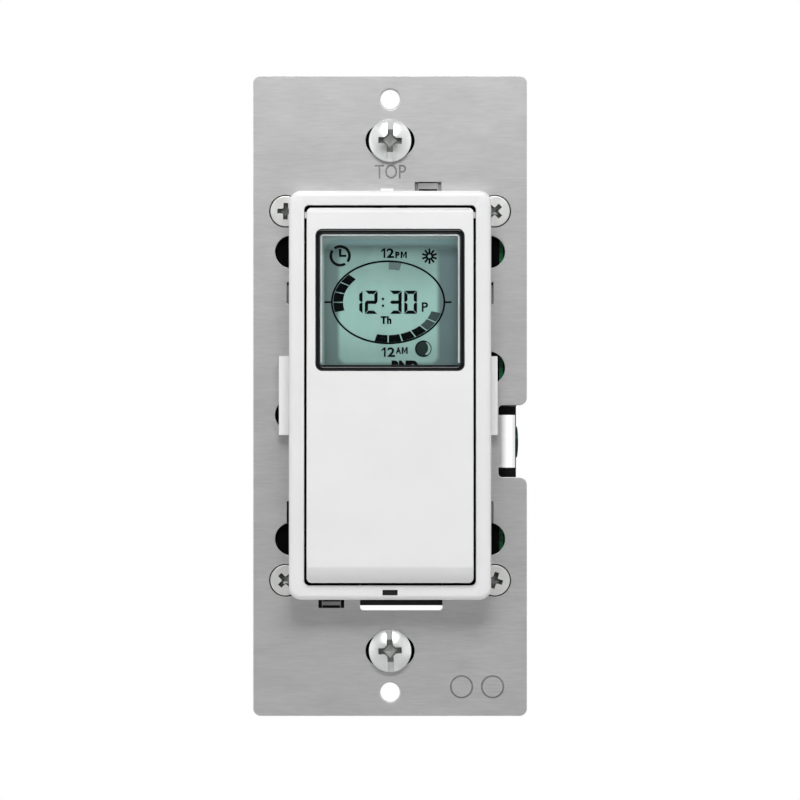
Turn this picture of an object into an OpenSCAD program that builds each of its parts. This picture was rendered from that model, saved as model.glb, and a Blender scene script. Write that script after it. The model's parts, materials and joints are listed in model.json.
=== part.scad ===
// Timer light switch: a wall-box device with a clock display in a push pad.
// X runs to the right, Z up to the edge marked as the top, and the front looks along -Y.
// The origin is the centre of the mounting strap's rear face. Lengths are in millimetres.

/* [Mounting strap] */
// Width of the strap
strap_w = 44.7; // [42:0.1:48]
// Height of the strap
strap_h = 104.6; // [102:0.1:110]
// Thickness of the strap
strap_t = 1.2; // [1:0.1:1.6]
// Corner radius of the strap
strap_corner_r = 1.2; // [0.5:0.1:3]
// Distance between the two wall-plate holes
plate_hole_pitch = 96.84; // [96:0.02:98]
// Diameter of the tapped wall-plate holes
plate_hole_d = 3.47; // [3:0.01:4]
// Distance between the two mounting screws
device_pitch = 83.34; // [82:0.02:85]
// Length of a mounting slot, across the strap
mount_slot_w = 8; // [7.6:0.1:9]
// Height of a mounting slot
mount_slot_h = 5; // [4.2:0.1:6]
// Distance across between the strap screws
strap_screw_pitch_x = 34.15; // [33.5:0.05:34.6]
// Distance down between the strap screws
strap_screw_pitch_z = 60.3; // [59.5:0.1:61]
// Diameter of the six vent holes
vent_d = 5.33; // [4:0.01:5.6]
// Distance of the vent holes from the centre line
vent_x = 16.1; // [15.8:0.05:16.4]
// Height of the two upper vent holes
vent_top_z = 23.5; // [22.8:0.1:24]
// Height of the two lower vent holes
vent_bottom_z = -23.4; // [-24:0.1:-23]
// Height of the right middle vent hole
vent_right_z = 4.55; // [3:0.05:6]
// Height of the left middle vent hole
vent_left_z = -3.15; // [-5:0.05:-1]
// Outer edge of the four leg slots, from the centre line
leg_slot_outer = 16.85; // [16.6:0.05:17.2]
// Height of a leg slot
leg_slot_h = 3.5; // [3:0.1:4]
// Middle height of the upper leg slots
leg_top_z = 16.8; // [15.5:0.1:17.5]
// Middle height of the lower leg slots
leg_bottom_z = -19; // [-19.4:0.1:-18.8]
// Width of the strap's middle window
strap_window_w = 24.6; // [24:0.1:25]
// Height of the strap's middle window
strap_window_h = 50; // [49:0.1:50.4]
// Depth of the notch in the strap's right edge
notch_depth = 4.65; // [4:0.05:5]
// Height of the notch
notch_h = 11.75; // [11:0.05:12.5]
// Middle height of the notch
notch_z = -7.43; // [-7.8:0.01:-7]
// Width of the ground tab that bends back in the notch
tab_w = 8.6; // [7:0.1:9.5]
// Outer radius of the ground tab's bend
tab_bend_r = 2.6; // [2:0.1:3]
// Lean of the ground tab towards the housing, in degrees
tab_lean = 6; // [0:0.5:8]
// Length of the ground tab behind its bend
tab_leg = 14; // [12:0.5:15]
// Left and right ends of the slot at the strap's lower edge
low_slot_x = [-4.9, 8.55]; // [-12:0.05:12]
// Lower edge of that slot
low_slot_bottom = -35.05; // [-35.6:0.05:-34.6]

/* [Front frame] */
// Width of the front frame
frame_w = 33; // [32:0.1:33.4]
// Height of the front frame
frame_h = 66.7; // [66:0.1:67.2]
// Depth of the front frame in front of the strap
frame_depth = 6; // [5.8:0.1:7]
// Outer corner radius of the frame
frame_corner_r = 2; // [1:0.1:3]
// Width of the frame's opening
opening_w = 28; // [27.6:0.1:28.4]
// Height of the frame's opening
opening_h = 62; // [61.6:0.1:62.4]
// Corner radius of the opening
opening_corner_r = 0.8; // [0.5:0.1:1]
// Height of the side wings
wing_h = 12.85; // [10:0.05:14]
// Reach of a side wing past the frame's side
wing_reach = 1.35; // [1:0.05:2]
// Thickness of a side wing
wing_t = 2.2; // [1.5:0.1:3]
// Thickness of a snap leg
leg_t = 1.2; // [1:0.1:1.4]
// Width and height of the slider's slot in the lower rail
slider_slot = [2.47, 0.89]; // [0.7:0.01:4]

/* [Push pad] */
// Gap between the pad and the frame's opening
pad_gap = 0.4; // [0.3:0.02:0.5]
// Thickness of the pad at its upper edge
pad_t = 2.3; // [2.2:0.05:2.5]
// Tilt of the pad's face, in degrees
pad_tilt = 2.5; // [1:0.1:3]
// Height of the rounded lip at the pad's lower edge
lip_h = 2.8; // [2:0.1:4]
// Depth of that lip
lip_depth = 2.2; // [1:0.1:3]
// Corner radius of the pad
pad_corner_r = 0.8; // [0.7:0.1:1.5]
// Wall of the hollow behind the pad
pad_wall = 1.5; // [1:0.1:1.8]
// Distance of the flip hinge from the pad's upper edge
flip_drop = 1.3; // [1.25:0.01:1.4]
// Distance of the flip hinge behind the pad's face
flip_depth = 1.4; // [1.35:0.01:1.45]
// Diameter of the hinge pin
hinge_pin_d = 0.9; // [0.7:0.05:1]
// Length of the hinge pin
hinge_pin_l = 12; // [8:0.5:20]
// How far the pad's carrier turns when pressed, in degrees
press_angle = 0.9; // [0.5:0.1:1]
// Distance of the carrier's trunnions below the pad's upper edge
press_drop = 4.5; // [4.3:0.1:5]

/* [Display] */
// Width of the window in the pad
window_w = 24.3; // [23:0.1:24.6]
// Height of the window in the pad
window_h = 23.2; // [22:0.1:23.4]
// Distance from the pad's upper edge to the window's middle
window_drop = 15.06; // [15:0.02:15.3]
// Corner radius of the window
window_corner_r = 1.1; // [0.8:0.1:2]
// Width of the window's dark border
border_w = 0.75; // [0.5:0.05:1]
// Thickness of the lens
lens_t = 1; // [0.6:0.1:1.2]
// Width of the display glass
lcd_w = 24; // [23:0.1:24.2]
// Height of the front display glass
lcd_h = 24.4; // [24:0.1:24.6]
// Thickness of each display glass
lcd_glass_t = 0.9; // [0.6:0.05:1]
// Width of the contact ledge at the front glass's lower edge
lcd_ledge = 2.5; // [2:0.1:3]

/* [Keys] */
// Width and height of a programming key
key_size = [9, 5.6]; // [4:0.1:9.4]
// Distance across between the keys
key_pitch_x = 12.2; // [11.2:0.1:12.6]
// Distance down between the keys
key_pitch_z = 7.6; // [7.2:0.1:7.8]
// Middle height of the keys
key_z = -9; // [-9.5:0.1:-8.5]
// Travel of a key
key_travel = 0.5; // [0.3:0.05:0.55]
// Diameter of the plunger that the pad presses
plunger_d = 3; // [2.4:0.1:3.4]
// Height of that plunger
plunger_z = -22; // [-22.4:0.1:-21.8]

/* [Housing and boards] */
// Width of the rear housing
housing_w = 41.4; // [40.8:0.1:42]
// Height of the rear housing
housing_h = 68.4; // [68:0.1:69.4]
// Depth of the rear housing behind the strap
housing_depth = 32; // [31:0.5:38]
// Wall of the rear housing
housing_wall = 1.9; // [1.5:0.1:2]
// Corner radius of the rear housing
housing_corner_r = 2; // [1:0.1:3]
// Gap between the control board and the housing's side walls
board_side_gap = 0.3; // [0.2:0.05:0.5]
// Gap between the boards and the housing's corner bosses
board_end_gap = 0.55; // [0.3:0.05:0.7]
// Thickness of a board
board_t = 1.6; // [1.2:0.1:1.8]
// Space between the strap and the control board
board_space = 1.6; // [1.5:0.1:1.8]
// Distance from the control board's face to the power board's face
board_pitch = 10.4; // [10.2:0.1:11]
// Gap between the power board and the terminals' pockets
power_side_gap = 0.6; // [0.55:0.05:0.8]
// Half height of the pockets for the terminals
terminal_half = 4.5; // [4.2:0.1:4.6]
// Height of the two upper terminals
terminal_top_z = 22; // [21:0.1:23]
// Height of the left lower terminal
terminal_low_z = -23; // [-23.4:0.1:-22.6]
// Travel of the air-gap slider
slider_travel = 3; // [2:0.1:3.1]

/* [Screws] */
// Diameter of the mounting screws' heads
mount_head_d = 6.95; // [6.4:0.05:7.4]
// Height of the mounting screws' heads
mount_head_h = 1.9; // [1.5:0.1:2.4]
// Diameter of the mounting screws' shanks
mount_shank_d = 3.5; // [3:0.05:3.6]
// Diameter of the mounting screws' necks, which the washers keep
mount_neck_d = 2.9; // [2.4:0.05:2.95]
// Length of the mounting screws behind the strap
mount_screw_l = 22; // [16:0.5:28]
// Diameter of the strap screws' heads
strap_head_d = 5.3; // [4.8:0.05:5.6]
// Diameter of the strap screws' shanks
strap_shank_d = 2.8; // [2.4:0.05:3]
// Length of the strap screws behind the strap
strap_screw_l = 9; // [7:0.5:11]
// Diameter of the terminal screws' heads
terminal_head_d = 7.2; // [6:0.1:7.6]
// Diameter of the terminal and ground screws' shanks
terminal_shank_d = 3.4; // [3:0.05:3.6]
// Diameter of the ground screw's head
ground_head_d = 5.2; // [4.6:0.1:6.6]

/* [Hidden] */
$fn = 48;
// Gap round a piece that is pressed or snapped in
fit = 0.03;
// Radial gap of a turning or sliding fit
run = 0.06;
// Gap between pieces that move past each other
side_gap = 0.2;
// Gap left behind a piece that rests on another
seat = 0.06;
// How far a cut runs past the face that it opens
cut = 1;

// Depths of the front, from the strap outwards
strap_front = -strap_t;
frame_front = strap_front - frame_depth;
rail = (frame_h - opening_h) / 2;

// The pad, its hinge and its tilted face
pad_w = opening_w - 2 * pad_gap;
pad_h = opening_h - 2 * pad_gap;
pad_top = pad_h / 2;
pad_bottom = -pad_top;
pad_back = frame_front + pad_t;
pad_edge_r = 0.8;
pad_back_r = 0.8;
lip_top = pad_bottom + lip_h;
flip_y = frame_front + flip_depth;
flip_z = pad_top - flip_drop;
function face_y(z) = frame_front - (pad_top - z) * tan(pad_tilt);
function arc(centre, r, from, to) = [for (i = [0:8]) centre + r * [cos(from + (to - from) * i / 8),
                                                                  sin(from + (to - from) * i / 8)]];
lip_points = [for (a = [0:10:90]) [face_y(lip_top) + lip_depth * (1 - cos(a)), lip_top - lip_h * sin(a)]];
pad_profile = concat(
    arc([pad_back - pad_back_r, pad_top - pad_back_r], pad_back_r, 0, 90),
    arc([frame_front + pad_edge_r, pad_top - pad_edge_r], pad_edge_r, 90, 180),
    lip_points,
    [[pad_back, pad_bottom]]);
window_z = pad_top - window_drop;
window_bottom = window_z - window_h / 2;
hollow_top = window_bottom - pad_wall;

// The knuckles that hold the flip hinge
knuckle_r = 0.95;
knuckle_gap = 0.1;
knuckle_w = 1.25;
knuckle_x = 2.05;
knuckle_arm = 0.6;
pin_r = hinge_pin_d / 2;

// The carrier that the pad presses
carrier_depth = 1.8;
arm_t = 0.8;
arm_out = opening_w / 2 - side_gap;
arm_in = arm_out - arm_t;
arm_front = pad_back + seat;
arm_back = arm_front + carrier_depth;
bar_inset = 0.6;
bar_h = 2.4;
bar_behind_pin = 1.5;
bar_below_pin = 2;
top_bar_front = flip_y + bar_behind_pin;
top_bar_bottom = flip_z - bar_below_pin;
press_z = pad_top - press_drop;
press_y = (arm_front + arm_back) / 2;
trunnion_r = 0.7;
trunnion_l = 1.1;
tongue_w = 7;
tongue_t = 0.9;
tongue_rise = 2;

// The chassis behind the pad, with the display and the keys
chassis_w = 2 * (arm_in - side_gap);
chassis_behind_pad = 0.6;
chassis_front = pad_back + chassis_behind_pad;
chassis_top = top_bar_bottom - side_gap;
chassis_overlap = 0.6;
chassis_bottom = -(strap_window_h / 2 + chassis_overlap);
chassis_wall = 1;
display_lip = 0.3;
display_wall = 0.6;
view_inset = [1.3, 2.1];
view_w = window_w - view_inset[0];
view_h = window_h - view_inset[1];
lcd_front = chassis_front + display_lip;
lcd_back = lcd_front + 2 * lcd_glass_t;
reflector_t = 0.2;
lcd_top = chassis_top - display_wall;
lcd_bottom = lcd_top - lcd_h;
panel_behind_pad = 1.7;
panel_front = pad_back + panel_behind_pad;
panel_back = panel_front + chassis_wall;
key_proud = 0.6;
key_flange = 0.6;
key_corner_r = 1;
stem_r = 1;
well_gap = 0.2;
well_dip = 0.2;
plunger_front = arm_front + tongue_t + seat;
plunger_travel = (press_z - plunger_z) * sin(press_angle);
plunger_spare = 0.3;
plunger_floor = plunger_front + plunger_travel + plunger_spare;
tongue_gap = 0.5;
plunger_recess = tongue_w / 2 + tongue_gap;
post_r = 1;

// The boards and the housing
board_front = board_space;
board_back = board_front + board_t;
power_front = board_front + board_pitch;
power_back = power_front + board_t;
key_spare = 0.9;
key_switch_front = panel_back + key_flange + key_travel + key_spare;
plunger_lead = 0.5;
plunger_step = key_switch_front - plunger_lead;
override_front = plunger_step + plunger_travel + side_gap;
switch_size = [6, 5.4];
boss_r = 3;
boss_end = 2;
boss_l = strap_screw_l + boss_end;
pocket_y = [8, 18];
pocket_wall = 1.2;
pocket_depth = 3.7;
pocket_floor = housing_w / 2 - pocket_depth;
plate_t = 1;
terminals = [[-1, terminal_top_z], [1, terminal_top_z], [-1, terminal_low_z]];
inner_w = housing_w - 2 * housing_wall;
board_w = inner_w - 2 * board_side_gap;
board_h = strap_screw_pitch_z - 2 * (boss_r + board_end_gap);
power_board_w = 2 * (pocket_floor - pocket_wall - power_side_gap);
sheet_t = 0.3;
sheet_side_gap = 1.4;
sheet_rim = 1.6;
sheet_w = inner_w - 2 * sheet_side_gap;
sheet_h = strap_window_h + 2 * sheet_rim;
ledge_zs = [11, -16];
ledge_half = 1.5;
ledge_inner = power_board_w / 2 + side_gap;
power_ledge_w = 1.6;
board_screw_inset = 1.3;
board_screw_x = board_w / 2 - board_screw_inset;
board_screw_r = 0.75;
board_screw_l = 6;
board_head_r = 1.4;
board_head_t = 0.8;

// The ground tab and the pocket that it lies in
notch_inner = strap_w / 2 - notch_depth;
tab_neck = 0.13;
tab_bend = [notch_inner + tab_neck, strap_front + tab_bend_r];
tab_pocket_wall = 1.1;
tab_pocket_floor = notch_inner - tab_pocket_wall;
tab_end_room = 6;
tab_pocket_depth = tab_leg + tab_end_room;
ground_from_end = 4.5;
ground_along = tab_leg - ground_from_end;
ground_head_t = 1.3;

// The air-gap slider in the lower rail
slider_z = -(opening_h + rail) / 2;
slider_gap = 0.08;
slider_recess = 0.3;
shoulder_front = strap_front + slider_travel + side_gap;
shoulder_l = 3;
shoulder_back = shoulder_front + shoulder_l;
shoulder_half = 2.2;
shoulder_reach = [0.9, 1.2];
shoulder_z = [slider_z - shoulder_reach[0], slider_z + shoulder_reach[1]];

// A box between two corners, given as ranges
module slab(x, y, z) translate([x[0], y[0], z[0]]) cube([x[1] - x[0], y[1] - y[0], z[1] - z[0]]);

// A flat outline in X and Z, made solid from one depth to another
module along_y(y) translate([0, y[1], 0]) rotate([90, 0, 0]) linear_extrude(y[1] - y[0]) children();

// A side outline in Y and Z, made solid across X
module along_x(x) translate([x[0], 0, 0]) rotate([90, 0, 90]) linear_extrude(x[1] - x[0]) children();

// Round bars along X and Y
module rod_x(r, x, y, z) translate([x[0], y, z]) rotate([0, 90, 0]) cylinder(r = r, h = x[1] - x[0]);
module rod_y(r, y, x, z) translate([x, y[0], z]) rotate([-90, 0, 0]) cylinder(r = r, h = y[1] - y[0]);

// A rectangle about the origin with round corners
module rounded(w, h, r) {
    square([w - 2 * r, h], center = true);
    square([w, h - 2 * r], center = true);
    for (x = [-1, 1], z = [-1, 1])
        translate([x * (w / 2 - r), z * (h / 2 - r)]) circle(r);
}

// A slot with round ends, lying across
module stadium(w, h) {
    square([w - h, h], center = true);
    for (x = [-1, 1])
        translate([x * (w - h) / 2, 0]) circle(d = h);
}

// The mirror images left and right
module both_sides() {
    children();
    mirror([1, 0, 0]) children();
}

// The pad's tilted face: depth runs inwards along Y, and Z runs down from the pad's upper edge
module on_face() translate([0, frame_front, pad_top]) rotate([-pad_tilt, 0, 0]) children();

// The cross recess of a screw head, cut inwards from the origin
module cross_recess(span, width, depth, turn) {
    for (a = [0, 90])
        rotate([0, turn + a, 0])
            slab([-span / 2, span / 2], [-cut, depth], [-width / 2, width / 2]);
}

// Front frame: a rounded frame with snap wings, legs through the strap and a slot for the slider
module face_frame() color("white") difference() {
    union() {
        along_y([frame_front, strap_front]) difference() {
            rounded(frame_w, frame_h, frame_corner_r);
            rounded(opening_w, opening_h, opening_corner_r);
        }
        both_sides() {
            slab([frame_w / 2 - cut, frame_w / 2 + wing_reach], [strap_front - wing_t, strap_front],
                 [-wing_h / 2, wing_h / 2]);
            frame_leg(leg_top_z);
            frame_leg(leg_bottom_z);
        }
        frame_nib();
    }
    along_y([frame_front - cut, strap_front + cut])
        translate([0, slider_z]) square(slider_slot, center = true);
    both_sides()
        rod_x(trunnion_r + run, [opening_w / 2 - cut, arm_out + trunnion_l + side_gap], press_y, press_z);
}

// A snap leg, with its barb behind the strap
leg_step = 0.4;
leg_inner = opening_w / 2 + leg_step;
leg_tip = board_front - leg_step;
barb_reach = 0.9;
module frame_leg(z) {
    leg_z = [z - leg_slot_h / 2 + side_gap, z + leg_slot_h / 2 - side_gap];
    slab([leg_inner, leg_inner + leg_t], [strap_front - cut, leg_tip], leg_z);
    slab([leg_inner - barb_reach, leg_inner + leg_t / 2], [seat, leg_tip - side_gap], leg_z);
}

// The small nib on the frame's upper edge
nib_size = [2.1, 1, 0.5];
nib_x = -0.5;
module frame_nib()
    slab([nib_x - nib_size[0] / 2, nib_x + nib_size[0] / 2], [strap_front - nib_size[1], strap_front],
         [frame_h / 2 - nib_size[2], frame_h / 2 + nib_size[2]]);

// Push pad: a hollow wedge with the window and the bore of its flip hinge
module push_pad() color("white") difference() {
    intersection() {
        along_x([-pad_w / 2, pad_w / 2]) polygon(pad_profile);
        along_y([face_y(pad_bottom) - cut, pad_back + cut]) rounded(pad_w, pad_h, pad_corner_r);
    }
    on_face() along_y([-cut, 2 * pad_t])
        translate([0, -window_drop]) rounded(window_w + 2 * fit, window_h + 2 * fit, window_corner_r + fit);
    both_sides() along_x([pad_wall / 2, pad_w / 2 - pad_wall]) polygon([
        [pad_back + cut, hollow_top],
        [face_y(hollow_top) + pad_wall, hollow_top],
        [face_y(lip_top) + pad_wall, lip_top],
        [pad_back + cut, lip_top]]);
    rod_x(pin_r + run, [-hinge_pin_l / 2 - side_gap, hinge_pin_l / 2 + side_gap], flip_y, flip_z);
    both_sides() knuckle_pocket();
}

module knuckle_pocket() {
    pocket_x = [knuckle_x - knuckle_w / 2 - knuckle_gap, knuckle_x + knuckle_w / 2 + knuckle_gap];
    rod_x(knuckle_r + knuckle_gap, pocket_x, flip_y, flip_z);
    slab(pocket_x, [flip_y - knuckle_arm - side_gap, pad_back + cut],
         [flip_z - knuckle_arm - knuckle_gap, pad_top + cut]);
}

// Dark border set into the window
border_recess = 0.05;
border_depth = 1.9;
module window_border() color("black") on_face()
    along_y([border_recess, border_depth]) translate([0, -window_drop]) difference() {
        rounded(window_w, window_h, window_corner_r);
        rounded(window_w - 2 * border_w, window_h - 2 * border_w, lens_corner_r);
    }

// Clear lens in the border
lens_corner_r = 0.6;
lens_recess = 0.5;
module display_lens() color("lightcyan", 0.4) on_face()
    along_y([lens_recess, lens_recess + lens_t]) translate([0, -window_drop])
        rounded(window_w - 2 * border_w - 2 * fit, window_h - 2 * border_w - 2 * fit, lens_corner_r - fit);

// Pin of the flip hinge
module pad_hinge_pin() color("silver")
    rod_x(pin_r, [-hinge_pin_l / 2, hinge_pin_l / 2], flip_y, flip_z);

// Carrier: a frame behind the pad that turns on two trunnions and presses the plunger
module pad_carrier() color("gainsboro") difference() {
    union() {
        both_sides() {
            slab([arm_in, arm_out], [arm_front, arm_back],
                 [pad_bottom + bar_inset, top_bar_bottom + bar_inset]);
            rod_x(trunnion_r, [arm_in, arm_out + trunnion_l], press_y, press_z);
            carrier_knuckle();
        }
        slab([-arm_out, arm_out], [top_bar_front, arm_back], [top_bar_bottom, pad_top - bar_inset]);
        slab([-arm_out, arm_out], [arm_front, arm_back],
             [pad_bottom + bar_inset, pad_bottom + bar_inset + bar_h]);
        slab([-tongue_w / 2, tongue_w / 2], [arm_front, arm_front + tongue_t],
             [pad_bottom + bar_inset, plunger_z + tongue_rise]);
    }
    rod_x(pin_r + fit, [-hinge_pin_l / 2, hinge_pin_l / 2], flip_y, flip_z);
}

module carrier_knuckle() {
    knuckle_range = [knuckle_x - knuckle_w / 2, knuckle_x + knuckle_w / 2];
    rod_x(knuckle_r, knuckle_range, flip_y, flip_z);
    slab(knuckle_range, [flip_y, top_bar_front + bar_inset], [flip_z - knuckle_arm, flip_z + knuckle_arm]);
}

// Chassis: holds the display above and guides the keys and the plunger below
module front_chassis() color("dimgray") difference() {
    union() {
        difference() {
            union() {
                slab([-chassis_w / 2, chassis_w / 2], [chassis_front, strap_front],
                     [lcd_bottom - display_wall, chassis_top]);
                slab([-chassis_w / 2, chassis_w / 2], [panel_front, strap_front],
                     [chassis_bottom, lcd_bottom]);
            }
            slab([-chassis_w / 2 + chassis_wall, chassis_w / 2 - chassis_wall],
                 [panel_back, strap_front + cut],
                 [chassis_bottom + chassis_wall, lcd_bottom - display_wall]);
            slab([-lcd_w / 2 - fit, lcd_w / 2 + fit], [lcd_front - fit, strap_front + cut],
                 [lcd_bottom - fit, lcd_top + fit]);
            along_y([chassis_front - cut, lcd_front + cut])
                translate([0, window_z]) square([view_w, view_h], center = true);
            slab([-plunger_recess, plunger_recess], [panel_front - cut, plunger_floor],
                 [chassis_bottom - cut, plunger_z + tongue_rise + side_gap]);
        }
        slab([-plunger_recess - chassis_wall, plunger_recess + chassis_wall],
             [plunger_floor, plunger_floor + chassis_wall],
             [chassis_bottom, plunger_z + tongue_rise + side_gap + chassis_wall]);
        both_sides() for (z = chassis_post_zs)
            rod_y(post_r, [panel_front + chassis_wall / 2, board_front - seat], chassis_post_x, z);
    }
    for (x = [-1, 1], z = [-1, 1])
        along_y([panel_front - cut, panel_back + cut])
            translate([x * key_pitch_x / 2, key_z + z * key_pitch_z / 2])
                rounded(key_size[0] + side_gap, key_size[1] + side_gap, key_corner_r + side_gap / 2);
    rod_y(plunger_d / 2 + run, [plunger_floor - cut, plunger_floor + chassis_wall + cut], 0, plunger_z);
}
chassis_post_x = chassis_w / 2 - chassis_wall / 2 - post_r - side_gap;
post_below_display = 2.4;
post_below_keys = 5.6;
chassis_post_zs = [lcd_bottom - post_below_display, key_z - key_pitch_z / 2 - post_below_keys];

// Display: two glasses, a reflector, the plate that holds them and the strip that joins them to the board
module lcd_front_glass() color("darkseagreen")
    slab([-lcd_w / 2, lcd_w / 2], [lcd_front, lcd_front + lcd_glass_t], [lcd_bottom, lcd_top]);
module lcd_rear_glass() color("darkseagreen")
    slab([-lcd_w / 2, lcd_w / 2], [lcd_front + lcd_glass_t, lcd_back], [lcd_bottom + lcd_ledge, lcd_top]);
module lcd_reflector() color("darkseagreen")
    slab([-lcd_w / 2, lcd_w / 2], [lcd_back, lcd_back + reflector_t], [lcd_bottom + lcd_ledge, lcd_top]);
module lcd_retainer() color("black")
    slab([-lcd_w / 2, lcd_w / 2], [lcd_back + reflector_t, strap_front - seat],
         [lcd_bottom + lcd_ledge + side_gap, lcd_top]);
module zebra_strip() color("pink")
    slab([-view_w / 2, view_w / 2], [lcd_front + lcd_glass_t, board_front],
         [lcd_bottom + side_gap, lcd_bottom + lcd_ledge - side_gap]);

// A programming key: cap, flange behind the panel and stem into its switch
module key(column, row) color("lightgray")
    translate([column * key_pitch_x / 2, 0, key_z + row * key_pitch_z / 2]) {
        along_y([panel_front - key_proud, panel_back + key_flange])
            rounded(key_size[0], key_size[1], key_corner_r);
        along_y([panel_back + seat, panel_back + key_flange])
            rounded(key_size[0] + 2 * key_flange, key_size[1] + 2 * key_flange, key_corner_r);
        rod_y(stem_r, [panel_back, key_switch_front + well_dip], 0, 0);
    }
module mode_button() key(-1, 1);
module up_button() key(1, 1);
module down_button() key(1, -1);
module enter_button() key(-1, -1);

// Plunger between the carrier and the override switch
module override_plunger() color("white") {
    rod_y(plunger_d / 2, [plunger_front, plunger_step], 0, plunger_z);
    rod_y(stem_r, [plunger_front, override_front + well_dip], 0, plunger_z);
}

// Air-gap slider: a blade in the frame's slot with a shoulder that stops it
module air_gap_slider() color("black") {
    slab([-slider_slot[0] / 2 + slider_gap, slider_slot[0] / 2 - slider_gap],
         [frame_front + slider_recess, shoulder_back],
         [slider_z - slider_slot[1] / 2 + slider_gap, slider_z + slider_slot[1] / 2 - slider_gap]);
    slab([-shoulder_half, shoulder_half], [shoulder_front, shoulder_back], shoulder_z);
}

// Mounting strap: a stamped plate with its holes, lances, countersinks and bent ground tab
module mounting_strap() color("silver") difference() {
    union() {
        along_y([strap_front, 0]) strap_outline();
        ground_tab();
        both_sides() for (z = [leg_top_z, leg_bottom_z])
            slab([leg_slot_outer - lug_t, leg_slot_outer + fit], [strap_front + lug_t, lug_back],
                 [z - leg_slot_h / 2, z + leg_slot_h / 2]);
        lance_tongue(top_lance);
        lance_tongue(low_lance);
    }
    at_strap_screws()
        translate([0, strap_front - fit, 0]) rotate([-90, 0, 0])
            cylinder(r1 = strap_head_d / 2 + sink_gap, r2 = strap_shank_d / 2 + sink_gap,
                     h = strap_t + 2 * fit);
    on_tab() translate([-cut, ground_along, 0]) rotate([0, 90, 0])
        cylinder(d = terminal_shank_d + 2 * fit, h = tab_bend_r + 2 * cut);
}

// Thickness and depth of the bent lug at each leg slot, and gap round a sunk head
lug_t = 0.5;
lug_back = board_front - board_head_t - side_gap;
sink_gap = 0.12;
// Lances as left, right, lower and upper edge
top_lance = [4.05, 8.35, 32.2, 34.9];
low_lance = [-11.7, -7.5, -34.65, -32];
lance_slit = 0.55;
lance_step = 0.35;

module strap_outline() difference() {
    rounded(strap_w, strap_h, strap_corner_r);
    square([strap_window_w, strap_window_h], center = true);
    for (z = [-1, 1]) {
        translate([0, z * plate_hole_pitch / 2]) circle(d = plate_hole_d);
        translate([0, z * device_pitch / 2]) stadium(mount_slot_w, mount_slot_h);
    }
    both_sides() {
        translate([vent_x, vent_top_z]) circle(d = vent_d);
        translate([vent_x, vent_bottom_z]) circle(d = vent_d);
        leg_slot(leg_top_z, 0);
        leg_slot(leg_bottom_z, vent_d / 4);
    }
    translate([vent_x, vent_right_z]) circle(d = vent_d);
    translate([-vent_x, vent_left_z]) circle(d = vent_d);
    polygon(notch_points);
    translate([(low_slot_x[0] + low_slot_x[1]) / 2, low_slot_bottom + low_slot_h / 2])
        rounded(low_slot_x[1] - low_slot_x[0], low_slot_h, low_slot_r);
    for (lance = [top_lance, low_lance])
        translate([lance[0], lance[2]]) square([lance[1] - lance[0], lance[3] - lance[2]]);
}
low_slot_above = 1.9;
low_slot_h = slider_z + low_slot_above - low_slot_bottom;
low_slot_r = 0.5;

// A leg slot, drawn longer at its lower end where it opens into a vent hole
module leg_slot(z, longer)
    translate([leg_slot_inner, z - leg_slot_h / 2 - longer])
        square([leg_slot_outer - leg_slot_inner, leg_slot_h + longer]);
leg_slot_gap = 0.3;
leg_slot_inner = leg_inner - leg_slot_gap;

// The notch in the right edge, with round outer and inner corners
notch_edge_r = 1.25;
notch_inner_r = 0.65;
notch_top = notch_z + notch_h / 2;
notch_low = notch_z - notch_h / 2;
notch_points = concat(
    arc([strap_w / 2 - notch_edge_r, notch_top + notch_edge_r], notch_edge_r, 0, -90),
    arc([notch_inner + notch_inner_r, notch_top - notch_inner_r], notch_inner_r, 90, 180),
    arc([notch_inner + notch_inner_r, notch_low + notch_inner_r], notch_inner_r, 180, 270),
    arc([strap_w / 2 - notch_edge_r, notch_low - notch_edge_r], notch_edge_r, 90, 0),
    [[strap_w / 2 + cut, notch_low - notch_edge_r], [strap_w / 2 + cut, notch_top + notch_edge_r]]);

// The ground tab's own place: X out of its leg, Y along the leg, Z up
module on_tab() translate([tab_bend[0], tab_bend[1], notch_z]) rotate([0, 0, tab_lean]) children();

module ground_tab() {
    slab([notch_inner - cut, tab_bend[0]], [strap_front, 0], [notch_z - tab_w / 2, notch_z + tab_w / 2]);
    translate([tab_bend[0], tab_bend[1], notch_z - tab_w / 2]) rotate([0, 0, -90])
        rotate_extrude(angle = 90 + tab_lean)
            translate([tab_bend_r - strap_t, 0]) square([strap_t, tab_w]);
    on_tab() slab([tab_bend_r - strap_t, tab_bend_r], [0, tab_leg], [-tab_w / 2, tab_w / 2]);
}

// The tongue of a lance, set a little below the strap's face
module lance_tongue(lance)
    slab([lance[0] + lance_slit, lance[1] - lance_slit], [strap_front + lance_step, 0],
         [lance[2] - fit, lance[3] + fit]);

module at_strap_screws()
    for (x = [-1, 1], z = [-1, 1])
        translate([x * strap_screw_pitch_x / 2, 0, z * strap_screw_pitch_z / 2]) children();

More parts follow.
